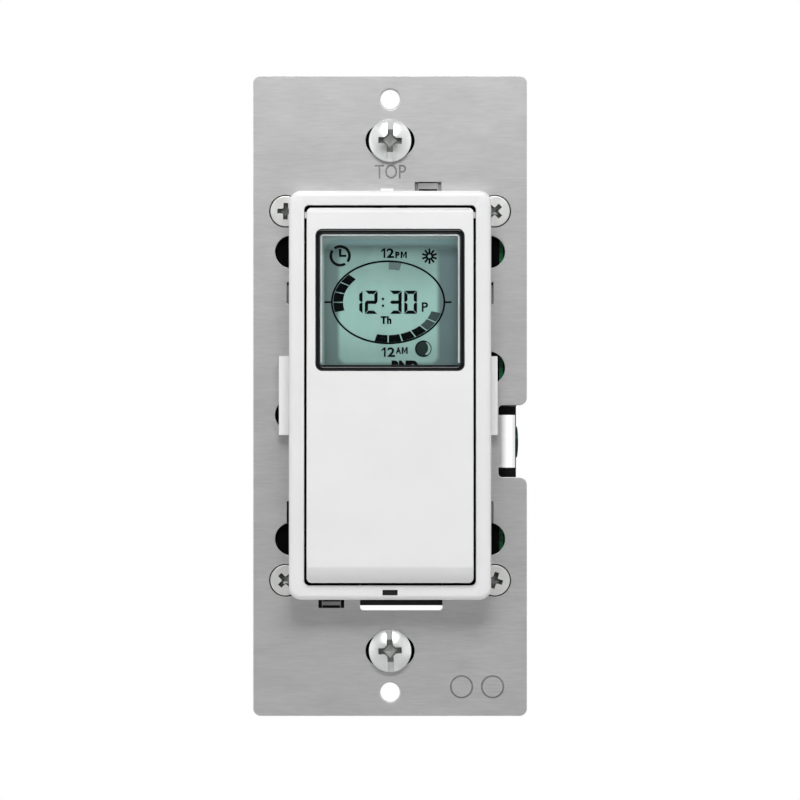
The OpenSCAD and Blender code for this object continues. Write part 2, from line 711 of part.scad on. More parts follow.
// Mounting screws: domed heads with a slot and a cross, necks, threaded shanks, and washers on the necks
recess_w = 0.85;
recess_depth = 1.2;
mount_recess_span = 4.2;
dome_r = 6;
retainer_size = [10, 8.4];
retainer_t = 0.8;
thread_front = seat + retainer_t + side_gap;
module mounting_screws() color("lightgray")
    for (z = [-1, 1]) translate([0, 0, z * device_pitch / 2]) difference() {
        union() {
            intersection() {
                rod_y(mount_head_d / 2, [strap_front - mount_head_h, strap_front], 0, 0);
                translate([0, strap_front - mount_head_h + dome_r, 0]) sphere(dome_r);
            }
            rod_y(mount_neck_d / 2, [strap_front - recess_depth / 4, thread_front + cut], 0, 0);
            rod_y(mount_shank_d / 2, [thread_front, mount_screw_l], 0, 0);
        }
        translate([0, strap_front - mount_head_h, 0]) {
            cross_recess(mount_recess_span, recess_w, recess_depth, 0);
            slab([-recess_w / 2, recess_w / 2], [-cut, recess_depth / 2], [-mount_head_d, mount_head_d]);
        }
    }

module screw_retainers() color("black")
    for (z = [-1, 1]) along_y([seat, seat + retainer_t]) translate([0, z * device_pitch / 2]) difference() {
        rounded(retainer_size[0], retainer_size[1], strap_corner_r);
        circle(d = mount_neck_d + 2 * fit);
    }

// Strap screws: countersunk cross-head screws into the housing's corner bosses
strap_recess_span = 3.2;
strap_recess_w = 0.7;
strap_recess_depth = 0.85;
module strap_screws() color("silver") at_strap_screws() difference() {
    union() {
        translate([0, strap_front, 0]) rotate([-90, 0, 0])
            cylinder(r1 = strap_head_d / 2, r2 = strap_shank_d / 2, h = strap_t);
        rod_y(strap_shank_d / 2, [-strap_t / 4, strap_screw_l], 0, 0);
    }
    translate([0, strap_front, 0]) cross_recess(strap_recess_span, strap_recess_w, strap_recess_depth, 0);
}

// Ground screw in the tab
ground_shank_l = 2.4;
module ground_screw() color("green") on_tab() translate([0, ground_along, 0]) difference() {
    union() {
        rod_x(ground_head_d / 2, [tab_bend_r + fit, tab_bend_r + ground_head_t], 0, 0);
        rod_x(terminal_shank_d / 2, [tab_bend_r - ground_shank_l, tab_bend_r + ground_head_t / 2], 0, 0);
    }
    slab([tab_bend_r + ground_head_t / 2, tab_bend_r + ground_head_t + cut], [-recess_w / 2, recess_w / 2],
         [-ground_head_d, ground_head_d]);
}

// Rear housing: a box with bosses, stepped ledges and pockets for the terminals and the ground tab
module rear_housing() color([0.12, 0.12, 0.13]) difference() {
    union() {
        difference() {
            along_y([0, housing_depth]) rounded(housing_w, housing_h, housing_corner_r);
            along_y([-cut, housing_depth - housing_wall])
                rounded(housing_w - 2 * housing_wall, housing_h - 2 * housing_wall, housing_corner_r / 2);
        }
        intersection() {
            along_y([0, housing_depth]) rounded(housing_w, housing_h, housing_corner_r);
            union() {
                at_strap_screws() rod_y(boss_r, [0, boss_l], 0, 0);
                both_sides() for (z = ledge_zs) board_ledge(z);
                for (t = terminals)
                    on_side(t) slab([pocket_floor - pocket_wall, housing_w / 2],
                                    [pocket_y[0] - pocket_wall, pocket_y[1] + pocket_wall],
                                    [-terminal_half - pocket_wall, terminal_half + pocket_wall]);
                slab([tab_pocket_floor - tab_pocket_wall, housing_w / 2],
                     [0, tab_pocket_depth + tab_pocket_wall],
                     [notch_low - tab_pocket_wall, notch_top + tab_pocket_wall]);
            }
        }
    }
    at_strap_screws() rod_y(strap_shank_d / 2 + fit, [-cut, strap_screw_l + side_gap], 0, 0);
    for (t = terminals) on_side(t) {
        slab([pocket_floor, housing_w / 2 + cut], pocket_y, [-terminal_half, terminal_half]);
        rod_x(terminal_shank_d / 2 + fit, [pocket_floor - pocket_wall - cut, housing_w / 2], terminal_y, 0);
    }
    slab([tab_pocket_floor, housing_w / 2 + cut], [-cut, tab_pocket_depth], [notch_low, notch_top]);
    at_board_screws() rod_y(board_screw_r + fit, [board_back - cut, board_back + board_screw_l], 0, 0);
    slab([-shoulder_half - side_gap, shoulder_half + side_gap], [-cut, shoulder_back + side_gap],
         [shoulder_z[0] - side_gap, shoulder_z[1]]);
    both_sides() for (z = [leg_top_z, leg_bottom_z])
        slab([leg_inner - barb_reach - side_gap, leg_slot_outer + fit + side_gap], [-cut, leg_tip + side_gap],
             [z - leg_slot_h / 2 - side_gap, z + leg_slot_h / 2 + side_gap]);
    for (z = [-1, 1]) along_y([-cut, thread_front]) translate([0, z * device_pitch / 2])
        rounded(retainer_size[0] + 2 * side_gap, retainer_size[1] + 2 * side_gap, strap_corner_r);
}
terminal_y = (pocket_y[0] + pocket_y[1]) / 2;

// A terminal's place on the left or right side
module on_side(t) translate([0, 0, t[1]]) mirror([t[0] < 0 ? 1 : 0, 0, 0]) children();

// A stepped rib: the control board rests on its outer step and the power board on its inner one
module board_ledge(z) {
    ledge_z = [z - ledge_half, z + ledge_half];
    slab([ledge_inner, housing_w / 2], [board_back, housing_depth], ledge_z);
    slab([ledge_inner - power_ledge_w, ledge_inner + cut], [power_back, housing_depth], ledge_z);
}

module at_board_screws() both_sides() for (z = ledge_zs) translate([board_screw_x, 0, z]) children();

// Insulating sheet behind the strap
module insulator_sheet() color("black") along_y([seat, seat + sheet_t]) difference() {
    square([sheet_w, sheet_h], center = true);
    square([strap_window_w, strap_window_h], center = true);
    both_sides() for (z = [leg_top_z, leg_bottom_z]) translate([leg_inner - barb_reach - side_gap, z])
        translate([0, -leg_slot_h / 2 - side_gap]) square([sheet_w, leg_slot_h + 2 * side_gap]);
    both_sides() for (z = ledge_zs) translate([board_screw_x, z]) circle(board_head_r + side_gap);
    both_sides() for (z = [-1, 1])
        translate([strap_screw_pitch_x / 2, z * strap_screw_pitch_z / 2]) circle(boss_r + side_gap);
    tab_clearance();
}

// What the sheet and the boards leave free round the ground tab's pocket
module tab_clearance()
    translate([tab_pocket_floor - tab_pocket_wall - side_gap, notch_low - tab_pocket_wall - side_gap])
        square([housing_w, notch_h + 2 * tab_pocket_wall + 2 * side_gap]);

// Boards and their screws
module control_board() color("darkgreen") along_y([board_front, board_back]) difference() {
    square([board_w, board_h], center = true);
    both_sides() for (z = ledge_zs) translate([board_screw_x, z]) circle(board_screw_r + fit);
    tab_clearance();
}
module power_board() color("darkgreen") along_y([power_front, power_back]) difference() {
    square([power_board_w, board_h], center = true);
    tab_clearance();
}
module board_screws() color("silver") at_board_screws() {
    rod_y(board_head_r, [board_front - board_head_t, board_front], 0, 0);
    rod_y(board_screw_r, [board_front - board_head_t, board_back + board_screw_l - side_gap], 0, 0);
}

// Switches on the control board, each with a well for the stem that presses it
module switch_body(x, z, front) difference() {
    along_y([front, board_front]) translate([x, z]) square(switch_size, center = true);
    rod_y(stem_r + well_gap, [front - cut, board_front + cut], x, z);
}
module tact_switches() color("dimgray") for (x = [-1, 1], z = [-1, 1])
    switch_body(x * key_pitch_x / 2, key_z + z * key_pitch_z / 2, key_switch_front);
module override_switch() color("dimgray") switch_body(0, plunger_z, override_front);

// Parts on the back of the control board
chip_size = [10, 1.6, 10];
chip_z = -6;
module microcontroller() color("black")
    slab([-chip_size[0] / 2, chip_size[0] / 2], [board_back, board_back + chip_size[1]],
         [chip_z - chip_size[2] / 2, chip_z + chip_size[2] / 2]);
crystal_r = 1.5;
crystal_l = 8;
crystal_at = [-9, -6];
module crystal() color("silver")
    translate([crystal_at[0], board_back + crystal_r, crystal_at[1] - crystal_l / 2])
        cylinder(r = crystal_r, h = crystal_l);
backup_r = 6;
backup_h = 5;
backup_z = 11;
module backup_capacitor() color("navy") rod_y(backup_r, [board_back, board_back + backup_h], 0, backup_z);
header_pins = 6;
header_pitch = 2.54;
header_base = 2.5;
header_pin_r = 0.32;
header_z = -20;
module board_header() color("black") {
    slab([-header_pins * header_pitch / 2, header_pins * header_pitch / 2],
         [board_back, board_back + header_base],
         [header_z - header_pitch / 2, header_z + header_pitch / 2]);
    for (i = [0:header_pins - 1])
        rod_y(header_pin_r, [board_back, power_front], (i - (header_pins - 1) / 2) * header_pitch, header_z);
}

// Parts on the back of the power board: place in X and Z, size in X, Y and Z
relay_at = [-6.4, 4];
relay_size = [12.8, 15, 19];
module relay() color("dodgerblue") on_power_board(relay_at, relay_size);
film_at = [7, -5];
film_size = [12, 11, 6];
module film_capacitor() color("gold") on_power_board(film_at, film_size);
rectifier_at = [-5, 20];
rectifier_size = [8, 5, 6];
module rectifier() color("black") on_power_board(rectifier_at, rectifier_size);
module on_power_board(at, size)
    slab([at[0] - size[0] / 2, at[0] + size[0] / 2], [power_back, power_back + size[1]],
         [at[1] - size[2] / 2, at[1] + size[2] / 2]);
electrolytic_at = [7, 6];
electrolytic_r = 5;
electrolytic_h = 15;
module electrolytic_capacitor() color("midnightblue")
    rod_y(electrolytic_r, [power_back, power_back + electrolytic_h], electrolytic_at[0], electrolytic_at[1]);
varistor_at = [-6, -13];
varistor_r = 5;
varistor_t = 4;
lead_r = 0.4;
lead_l = 1.4;
module varistor() color("orange") {
    rod_x(varistor_r, [varistor_at[0] - varistor_t / 2, varistor_at[0] + varistor_t / 2],
          power_back + lead_l + varistor_r, varistor_at[1]);
    for (z = [-1, 1])
        rod_y(lead_r, [power_back, power_back + lead_l + varistor_r],
              varistor_at[0], varistor_at[1] + z * varistor_r / 2);
}
choke_at = [7, -17];
choke_r = 5;
choke_core_r = 2.4;
choke_h = 11;
choke_flange = 1.4;
module choke() color("sienna") {
    rod_y(choke_r, [power_back, power_back + choke_flange], choke_at[0], choke_at[1]);
    rod_y(choke_core_r + choke_flange, [power_back, power_back + choke_h], choke_at[0], choke_at[1]);
    rod_y(choke_r, [power_back + choke_h - choke_flange, power_back + choke_h], choke_at[0], choke_at[1]);
}
resistor_r = 1.1;
resistor_l = 7;
resistor_xs = [4, 8, 12];
resistor_z = 20;
module resistors() color("tan") for (x = resistor_xs)
    translate([x, power_back + resistor_r, resistor_z - resistor_l / 2])
        cylinder(r = resistor_r, h = resistor_l);

// Side terminals: a plate in each pocket and its screw
plate_margin = 0.6;
terminal_head_t = 2.2;
module terminal_plates() color("goldenrod") for (t = terminals) on_side(t) difference() {
    slab([pocket_floor, pocket_floor + plate_t], [pocket_y[0] + plate_margin, pocket_y[1] - plate_margin],
         [-terminal_half + plate_margin, terminal_half - plate_margin]);
    rod_x(terminal_shank_d / 2 + fit, [pocket_floor - cut, pocket_floor + plate_t + cut], terminal_y, 0);
}
module terminal_screws() color("goldenrod") for (t = terminals) on_side(t) difference() {
    union() {
        rod_x(terminal_head_d / 2, [pocket_floor + plate_t + seat, pocket_floor + plate_t + terminal_head_t],
              terminal_y, 0);
        rod_x(terminal_shank_d / 2,
              [pocket_floor - pocket_wall, pocket_floor + plate_t + terminal_head_t / 2], terminal_y, 0);
    }
    slab([pocket_floor + plate_t + terminal_head_t / 2, housing_w],
         [terminal_y - recess_w / 2, terminal_y + recess_w / 2], [-terminal_head_d, terminal_head_d]);
}

// Contact blades beside the slider's shoulder
blade_t = 0.5;
blade_h = 6;
module air_gap_contacts() color("goldenrod") both_sides()
    slab([shoulder_half + side_gap, shoulder_half + side_gap + blade_t],
         [board_back, shoulder_back + side_gap], [shoulder_z[1] - cut, shoulder_z[1] + blade_h]);

face_frame();
push_pad();
window_border();
display_lens();
pad_hinge_pin();
pad_carrier();
front_chassis();
lcd_front_glass();
lcd_rear_glass();
lcd_reflector();
lcd_retainer();
zebra_strip();
mode_button();
up_button();
down_button();
enter_button();
override_plunger();
air_gap_slider();
mounting_strap();
mounting_screws();
screw_retainers();
strap_screws();
ground_screw();
rear_housing();
insulator_sheet();
control_board();
board_screws();
tact_switches();
override_switch();
microcontroller();
crystal();
backup_capacitor();
board_header();
power_board();
relay();
electrolytic_capacitor();
film_capacitor();
varistor();
choke();
rectifier();
resistors();
terminal_plates();
terminal_screws();
air_gap_contacts();
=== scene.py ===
# Timer light switch: rounded front pieces, display graphics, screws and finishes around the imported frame.
import json
import math

import bmesh
import bpy
from mathutils import Euler, Matrix, Vector


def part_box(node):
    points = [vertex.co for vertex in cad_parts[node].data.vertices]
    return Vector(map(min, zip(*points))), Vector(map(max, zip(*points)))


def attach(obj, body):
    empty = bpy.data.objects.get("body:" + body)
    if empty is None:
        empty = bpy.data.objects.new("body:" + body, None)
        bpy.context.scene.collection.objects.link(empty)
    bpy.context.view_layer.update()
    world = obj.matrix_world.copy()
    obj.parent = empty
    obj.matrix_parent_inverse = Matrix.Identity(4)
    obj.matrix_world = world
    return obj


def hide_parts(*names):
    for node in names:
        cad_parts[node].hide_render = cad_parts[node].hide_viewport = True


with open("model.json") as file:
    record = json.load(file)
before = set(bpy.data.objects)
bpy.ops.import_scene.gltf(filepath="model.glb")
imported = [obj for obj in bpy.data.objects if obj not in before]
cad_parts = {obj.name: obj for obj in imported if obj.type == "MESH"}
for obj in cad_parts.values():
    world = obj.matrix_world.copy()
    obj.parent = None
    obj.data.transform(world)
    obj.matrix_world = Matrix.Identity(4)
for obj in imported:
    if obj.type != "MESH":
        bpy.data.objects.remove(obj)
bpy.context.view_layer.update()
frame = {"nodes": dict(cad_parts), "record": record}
nodes = frame["nodes"]
record = frame["record"]
body_of = {node: body for body, members in record["behaviour"]["bodies"].items() for node in members}
slot_of = {row["node"]: row["material_slot"] for row in record["subparts"]}

# Lengths are written in millimetres and scaled to metres where a mesh, lamp or camera is made
MM = 0.001


def low_of(node):
    """A node's lowest corner in millimetres."""
    return Vector(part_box(node)[0]) / MM


def high_of(node):
    """A node's highest corner in millimetres."""
    return Vector(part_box(node)[1]) / MM


# Places taken from the frame
STRAP_FRONT = low_of("mounting_strap").y
FRAME_FRONT = low_of("face_frame").y
PAD_TOP = high_of("push_pad").z
DISPLAY_FRONT = low_of("lcd_front_glass").y
SCREW_END = high_of("mounting_screws").y

# How far the pad's face leans out towards its lower edge
PAD_TILT = math.radians(2.5)

# Distances of the screws and tapped holes from the strap's middle
MOUNTING_SCREW_Z = 41.67
TAPPED_HOLE_Z = 48.42
STRAP_SCREW_X = 17.075
STRAP_SCREW_Z = 30.15

# The photograph's framing at the strap's front face
VIEW_W = 130.7
VIEW_CENTRE = (1.62, -0.7)
CAMERA_DISTANCE = 3000.0
CAMERA_LIFT = math.radians(-0.7)
CAMERA_REACH = 10000.0
SENSOR_W = 36.0


def add_camera():
    """A camera far in front, which frames the strap as the photograph does."""
    data = bpy.data.cameras.new("view")
    data.sensor_width = SENSOR_W
    data.lens = SENSOR_W * CAMERA_DISTANCE / VIEW_W
    data.clip_end = CAMERA_REACH * MM
    camera = bpy.data.objects.new("view", data)
    bpy.context.collection.objects.link(camera)
    turn = Euler((math.radians(90) - CAMERA_LIFT, 0, 0))
    away = turn.to_matrix() @ Vector((0, 0, CAMERA_DISTANCE))
    camera.location = (Vector((VIEW_CENTRE[0], STRAP_FRONT, VIEW_CENTRE[1])) + away) * MM
    camera.rotation_euler = turn
    bpy.context.scene.camera = camera


# Materials


def srgb(red, green, blue):
    """The linear colour of a screen colour with parts from 0 to 255."""
    parts = [v / 255 for v in (red, green, blue)]
    return tuple(v / 12.92 if v < 0.04045 else ((v + 0.055) / 1.055) ** 2.4 for v in parts) + (1.0,)


def grey(level):
    """The linear colour of a screen grey from 0 to 255."""
    return srgb(level, level, level)


# Where a mix node keeps its first value and its result, by the kind of value
MIX_PLACES = {"FLOAT": (2, 0), "RGBA": (6, 2)}


class Graph:
    """Short calls that build a tree of shader nodes."""

    def __init__(self, tree):
        self.tree = tree

    def node(self, kind, **settings):
        made = self.tree.nodes.new("ShaderNode" + kind)
        for key, value in settings.items():
            setattr(made, key, value)
        return made

    def link(self, source, target):
        self.tree.links.new(source, target)

    def feed(self, socket, value):
        """Joins another node's output to an input, or sets the input to a constant."""
        if isinstance(value, bpy.types.NodeSocket):
            self.link(value, socket)
        else:
            socket.default_value = value

    def math(self, operation, *values):
        made = self.node("Math", operation=operation)
        for socket, value in zip(made.inputs, values):
            self.feed(socket, value)
        return made.outputs["Value"]

    def length(self, first, second):
        """The distance over two lengths at right angles."""
        squares = [self.math("MULTIPLY", side, side) for side in (first, second)]
        return self.math("SQRT", self.math("ADD", *squares))

    def spread(self, value, low, high, start=0.3, end=0.7, kind="SMOOTHSTEP"):
        """Maps start to end onto low to high, held at the ends."""
        made = self.node("MapRange", interpolation_type=kind)
        for socket, number in zip(made.inputs[1:5], (start, end, low, high)):
            socket.default_value = number
        self.link(value, made.inputs["Value"])
        return made.outputs["Result"]

    def fade(self, value, start, end):
        """Goes smoothly from 0 to 1 between start and end."""
        return self.spread(value, 0.0, 1.0, start, end)

    def mix(self, factor, first, second, kind="RGBA"):
        """Goes from the first value to the second as the factor goes from 0 to 1."""
        start, result = MIX_PLACES[kind]
        made = self.node("Mix", data_type=kind)
        for place, value in ((0, factor), (start, first), (start + 1, second)):
            self.feed(made.inputs[place], value)
        return made.outputs[result]


class Finish(Graph):
    """A node material: one shader whose colour, roughness and relief come from procedural patterns."""

    def __init__(self, name, **constants):
        self.name = name
        self.material = bpy.data.materials.new(name)
        self.material.use_nodes = True
        super().__init__(self.material.node_tree)
        self.shader = self.tree.nodes["Principled BSDF"]
        for socket, value in constants.items():
            self.shader.inputs[socket.replace("_", " ")].default_value = value

    def position(self, stretch=(1, 1, 1)):
        """The point on the object in metres, stretched along each axis."""
        place = self.node("TexCoord")
        scaled = self.node("Mapping")
        scaled.inputs["Scale"].default_value = stretch
        self.link(place.outputs["Object"], scaled.inputs["Vector"])
        return scaled.outputs["Vector"]

    def millimetres(self):
        """The point on the object in millimetres, as three numbers."""
        parts = self.node("SeparateXYZ")
        self.link(self.position((1 / MM,) * 3), parts.inputs["Vector"])
        return [parts.outputs[axis] for axis in "XYZ"]

    def noise(self, stretch, detail=3.0):
        """Noise with this many features per metre along each axis."""
        if not isinstance(stretch, tuple):
            stretch = (stretch,) * 3
        texture = self.node("TexNoise")
        texture.inputs["Scale"].default_value = 1.0
        texture.inputs["Detail"].default_value = detail
        texture.inputs["Roughness"].default_value = 0.55
        self.link(self.position(stretch), texture.inputs["Vector"])
        return texture.outputs["Fac"]

    def ramp(self, value, dark, light, start=0.35, end=0.65):
        """Colours along a value, from dark at start to light at end."""
        made = self.node("ValToRGB")
        for point, place, colour in zip(made.color_ramp.elements, (start, end), (dark, light)):
            point.position = place
            point.color = colour
        self.link(value, made.inputs["Fac"])
        return made.outputs["Color"]

    def colour(self, value):
        self.link(value, self.shader.inputs["Base Color"])
        return self

    def rough(self, value, low, high):
        self.link(self.spread(value, low, high), self.shader.inputs["Roughness"])
        return self

    def relief(self, value, height):
        """Raises the surface by up to a height in millimetres, in its shading alone."""
        bump = self.node("Bump")
        bump.inputs["Distance"].default_value = height * MM
        self.link(value, bump.inputs["Height"])
        self.link(bump.outputs["Normal"], self.shader.inputs["Normal"])
        return self


def moulded(name, dark, light, rough=(0.4, 0.5), grain=0.004, specular=0.5):
    """Moulded plastic: faint flow marks in the colour and a fine spark-eroded grain."""
    f = Finish(name, Specular_IOR_Level=specular)
    f.colour(f.ramp(f.noise(90), dark, light))
    f.rough(f.noise(700), *rough)
    return f.relief(f.noise(5000, detail=2), grain)


def brushed(name, dark, light, rough):
    """Rolled sheet steel: short fine streaks along X over faint cloudy patches."""
    fine_share, cloud_share, streak_height = 0.7, 0.3, 0.0012
    f = Finish(name, Metallic=1.0)
    fine = f.noise((420, 420, 4200))
    cloud = f.noise((150, 150, 420), detail=4)
    tone = f.math("ADD", f.math("MULTIPLY", fine, fine_share), f.math("MULTIPLY", cloud, cloud_share))
    f.colour(f.ramp(tone, dark, light, 0.3, 0.7))
    f.rough(cloud, *rough)
    return f.relief(fine, streak_height)


def plated(name, dark, light, rough):
    """Turned and plated metal with faint tool marks and dull patches."""
    f = Finish(name, Metallic=1.0)
    f.colour(f.ramp(f.noise(420), dark, light))
    f.rough(f.noise(800), *rough)
    return f.relief(f.noise(2600, detail=2), 0.0004)


def fibre(name):
    """Pressed black fibre with short flecks."""
    f = Finish(name, Specular_IOR_Level=0.06)
    flecks = f.noise((900, 900, 3200), detail=4)
    f.colour(f.ramp(flecks, grey(2), grey(6), 0.4, 0.7))
    f.rough(flecks, 0.6, 0.85)
    return f.relief(flecks, 0.01)


def clear(name):
    """A clear moulded pane: most of it lets light through, the rest is a faint polished skin."""
    f = Finish(name, Alpha=0.002, Specular_IOR_Level=0.5)
    f.colour(f.ramp(f.noise(60), srgb(206, 220, 218), srgb(214, 226, 224), 0.4, 0.6))
    return f.rough(f.noise(220), 0.04, 0.09)


def board(name):
    """Circuit board: green solder mask with paler tracks standing a little proud."""
    f = Finish(name, Coat_Weight=0.3)
    tracks = f.node("TexBrick")
    sizes = {"Scale": 1.0, "Mortar Size": 0.12, "Brick Width": 3.1, "Row Height": 0.8}
    for socket, value in sizes.items():
        tracks.inputs[socket].default_value = value
    turned = f.node("Mapping")
    turned.inputs["Rotation"].default_value = (math.radians(90), 0, 0)
    f.link(f.position((900, 900, 900)), turned.inputs["Vector"])
    f.link(turned.outputs["Vector"], tracks.inputs["Vector"])
    lines = tracks.outputs["Fac"]
    # The green painted lighter than the board's own, a painted brightening for light it doesn't get behind
    # the vents
    mask = f.ramp(f.noise(300), srgb(14, 128, 74), srgb(20, 146, 86), 0.4, 0.6)
    f.colour(f.mix(lines, mask, srgb(34, 168, 100)))
    f.rough(f.noise(900), 0.3, 0.45)
    return f.relief(lines, 0.03)


def banded(name, dark, light, turns, axis, metallic=0.0):
    """Bands across one axis, such as enamelled windings or a layered strip."""
    f = Finish(name, Metallic=metallic)
    wave = f.node("TexWave", bands_direction=axis)
    wave.inputs["Scale"].default_value = turns
    wave.inputs["Distortion"].default_value = 0.4
    f.link(f.position(), wave.inputs["Vector"])
    f.colour(f.ramp(wave.outputs["Fac"], dark, light, 0.25, 0.75))
    f.rough(f.noise(900), 0.35, 0.5)
    return f.relief(wave.outputs["Fac"], 0.05)


def display_face(name):
    """The display's pale green field and its painted shade: darker bands where the window's walls would
    keep light off it, and the field itself darkest towards the top.
    """
    field_centre, field_half, field_corner, field_blur = (-0.28, 14.75), (8.1, 9.5), 1.4, 0.45
    low_fade, high_fade, top_fade, side_fade = (6.0, 12.0), (15.0, 22.5), (23.6, 25.2), (-11.5, 11.5)
    shadow_left, shadow_top, shadow_corner, shadow_blur = -10.75, 25.55, 2.3, 0.12
    f = Finish(name, Specular_IOR_Level=0.4)
    x, _, z = f.millimetres()
    past = []
    for place, middle, half in zip((x, z), field_centre, field_half):
        away = f.math("ABSOLUTE", f.math("SUBTRACT", place, middle))
        past.append(f.math("MAXIMUM", f.math("SUBTRACT", away, half - field_corner), 0.0))
    shadow_band = f.fade(f.length(*past), field_corner - field_blur, field_corner + field_blur)
    # Painted shade: the field lightest in its middle and darkest towards the top
    patches = f.noise((260, 260, 90))
    lower = f.ramp(patches, srgb(136, 173, 165), srgb(143, 180, 171))
    central = f.ramp(patches, srgb(147, 187, 178), srgb(152, 193, 184))
    upper = f.ramp(patches, srgb(120, 152, 145), srgb(126, 159, 151))
    field = f.mix(f.fade(z, *low_fade), lower, central)
    field = f.mix(f.fade(z, *high_fade), field, upper)
    # The painted shadow bands, a shade darker on the right and painted much lighter near the top
    edge = f.mix(f.fade(x, *side_fade), srgb(97, 120, 118), srgb(94, 116, 117))
    at_top = f.fade(z, *top_fade)
    edge = f.mix(at_top, edge, srgb(192, 237, 237))

    # The painted shadow's outer edge, which turns round the upper left corner; past it the field is painted
    # lighter, most near the top
    over = f.math("MAXIMUM", f.math("SUBTRACT", shadow_left + shadow_corner, x), 0.0)
    above = f.math("MAXIMUM", f.math("SUBTRACT", z, shadow_top - shadow_corner), 0.0)
    past_shadow = f.fade(f.length(over, above), shadow_corner - shadow_blur, shadow_corner + shadow_blur)
    outside = f.mix(at_top, srgb(150, 182, 175), srgb(222, 251, 247))
    f.colour(f.mix(past_shadow, f.mix(shadow_band, field, edge), outside))
    f.rough(f.noise(900), 0.32, 0.42)
    return f.relief(f.noise(9000, detail=1), 0.001)


def make_finishes():
    """Every finish by its name, those of the record's slots and those of some faces or pieces alone."""
    made = [
        moulded("white_plastic", grey(229), grey(232), (0.36, 0.46)),
        moulded("grey_plastic", grey(186), grey(196)),
        moulded("key_plastic", srgb(168, 171, 174), srgb(178, 181, 184), grain=0.008),
        moulded("dark_plastic", grey(11), grey(17), (0.45, 0.58), grain=0.01, specular=0.3),
        fibre("black_fibre"),
        clear("clear_lens"),
        display_face("display_glass"),
        moulded("display_reflector", srgb(150, 176, 168), srgb(164, 190, 182), (0.25, 0.4)),
        banded("elastomer", srgb(196, 140, 140), srgb(226, 176, 172), 900, "X"),
        brushed("strap_steel", grey(187), grey(200), (0.45, 0.47)),
        # Brighter than the strap: a painted highlight on the ground tab's bend
        brushed("tab_highlight_steel", grey(238), grey(245), (0.32, 0.36)),
        # Darker steels for the stamped marks, the slits and the lance tongues: painted shade
        brushed("stamped_steel", grey(136), grey(154), (0.4, 0.5)),
        brushed("tongue_steel", grey(138), grey(158), (0.4, 0.5)),
        brushed("lance_steel", grey(162), grey(178), (0.4, 0.5)),
        # Painted shade in the mounting screws' slots
        plated("slot_steel", srgb(192, 195, 193), srgb(204, 207, 205), (0.5, 0.6)),
        plated("shade_steel", grey(20), grey(30), (0.5, 0.6)),
        # Painted shade in the mounting screws' pits
        plated("recess_steel", srgb(168, 171, 168), srgb(186, 189, 186), (0.3, 0.42)),
        plated("screw_steel", srgb(206, 208, 207), srgb(222, 224, 223), (0.3, 0.36)),
        plated("sunk_steel", srgb(228, 229, 226), srgb(236, 237, 234), (0.42, 0.46)),
        # Painted shade in the strap screws' cross recesses
        plated("recess_shade_steel", srgb(62, 64, 60), srgb(92, 94, 88), (0.44, 0.56)),
        # Painted shade in cross recesses and the strap screws' pits
        plated("cross_steel", srgb(118, 121, 118), srgb(138, 141, 138), (0.36, 0.46)),
        # The ground screw painted dark and dull, as painted shade
        plated("ground_green", srgb(38, 54, 45), srgb(48, 64, 55), (0.36, 0.46)),
        board("board_green"),
        moulded("black_component", grey(22), grey(32), (0.5, 0.62)),
        plated("metal_can", grey(196), grey(212), (0.28, 0.4)),
        moulded("blue_component", srgb(28, 62, 140), srgb(36, 72, 156), (0.3, 0.42)),
        moulded("yellow_component", srgb(206, 160, 58), srgb(220, 174, 70), (0.32, 0.44)),
        banded("copper_winding", srgb(128, 62, 26), srgb(190, 104, 52), 1800, "Y", metallic=0.7),
        plated("terminal_brass", srgb(198, 164, 88), srgb(214, 182, 108), (0.26, 0.4)),
        moulded("gloss_black", srgb(2, 4, 6), srgb(5, 8, 11), (0.1, 0.16), grain=0.0006, specular=0.4),
        # A pale finish for the lens's bevel: a painted glint
        moulded("lens_glint", srgb(206, 214, 214), srgb(236, 240, 240), (0.12, 0.2), grain=0.002),
        moulded("ink", srgb(1, 3, 3), srgb(3, 6, 6), specular=0.02),
        moulded("ink_deep", srgb(30, 44, 42), srgb(40, 56, 53), specular=0.05),
        moulded("ink_mid", srgb(52, 66, 67), srgb(66, 82, 82), specular=0.1),
        moulded("ink_pale", srgb(88, 106, 106), srgb(98, 118, 116), specular=0.1),
        # The air-gap contacts painted dark bronze, as painted shade deep inside
        plated("shaded_bronze", srgb(30, 24, 14), srgb(40, 33, 20), (0.5, 0.6)),
    ]
    return {finish.name: finish for finish in made}


# Mesh helpers


def piece(name, bm, body, finishes, stands_for=(), smooth_angle=35):
    """Makes an object of a mesh built in metres and puts it on its body."""
    mesh = bpy.data.meshes.new(name)
    bmesh.ops.recalc_face_normals(bm, faces=bm.faces)
    bm.to_mesh(mesh)
    bm.free()
    mesh.shade_smooth()
    mesh.set_sharp_from_angle(angle=math.radians(smooth_angle))
    for finish in finishes:
        mesh.materials.append(FINISHES[finish].material)
    obj = bpy.data.objects.new(name, mesh)
    bpy.context.collection.objects.link(obj)
    weighted = obj.modifiers.new("even_normals", "WEIGHTED_NORMAL")
    weighted.keep_sharp = True
    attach(obj, body)
    if stands_for:
        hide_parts(*stands_for)


def node_mesh(name, closing=None):
    """A fresh copy of a node's surface in whole flat faces, a hole at chosen points closed."""
    source = nodes[name].data
    mesh = bpy.data.meshes.new(name + "_copy")
    mesh.from_pydata([v.co for v in source.vertices], [], [p.vertices for p in source.polygons])
    bm = bmesh.new()
    bm.from_mesh(mesh)
    bpy.data.meshes.remove(mesh)
    bmesh.ops.remove_doubles(bm, verts=bm.verts, dist=1e-4 * MM)
    if closing:
        bmesh.ops.delete(bm, geom=[v for v in bm.verts if closing(v.co / MM)], context="VERTS")
        bmesh.ops.holes_fill(bm, edges=[e for e in bm.edges if e.is_boundary], sides=0)
    bmesh.ops.dissolve_limit(bm, angle_limit=math.radians(0.4), verts=bm.verts, edges=bm.edges)
    return bm


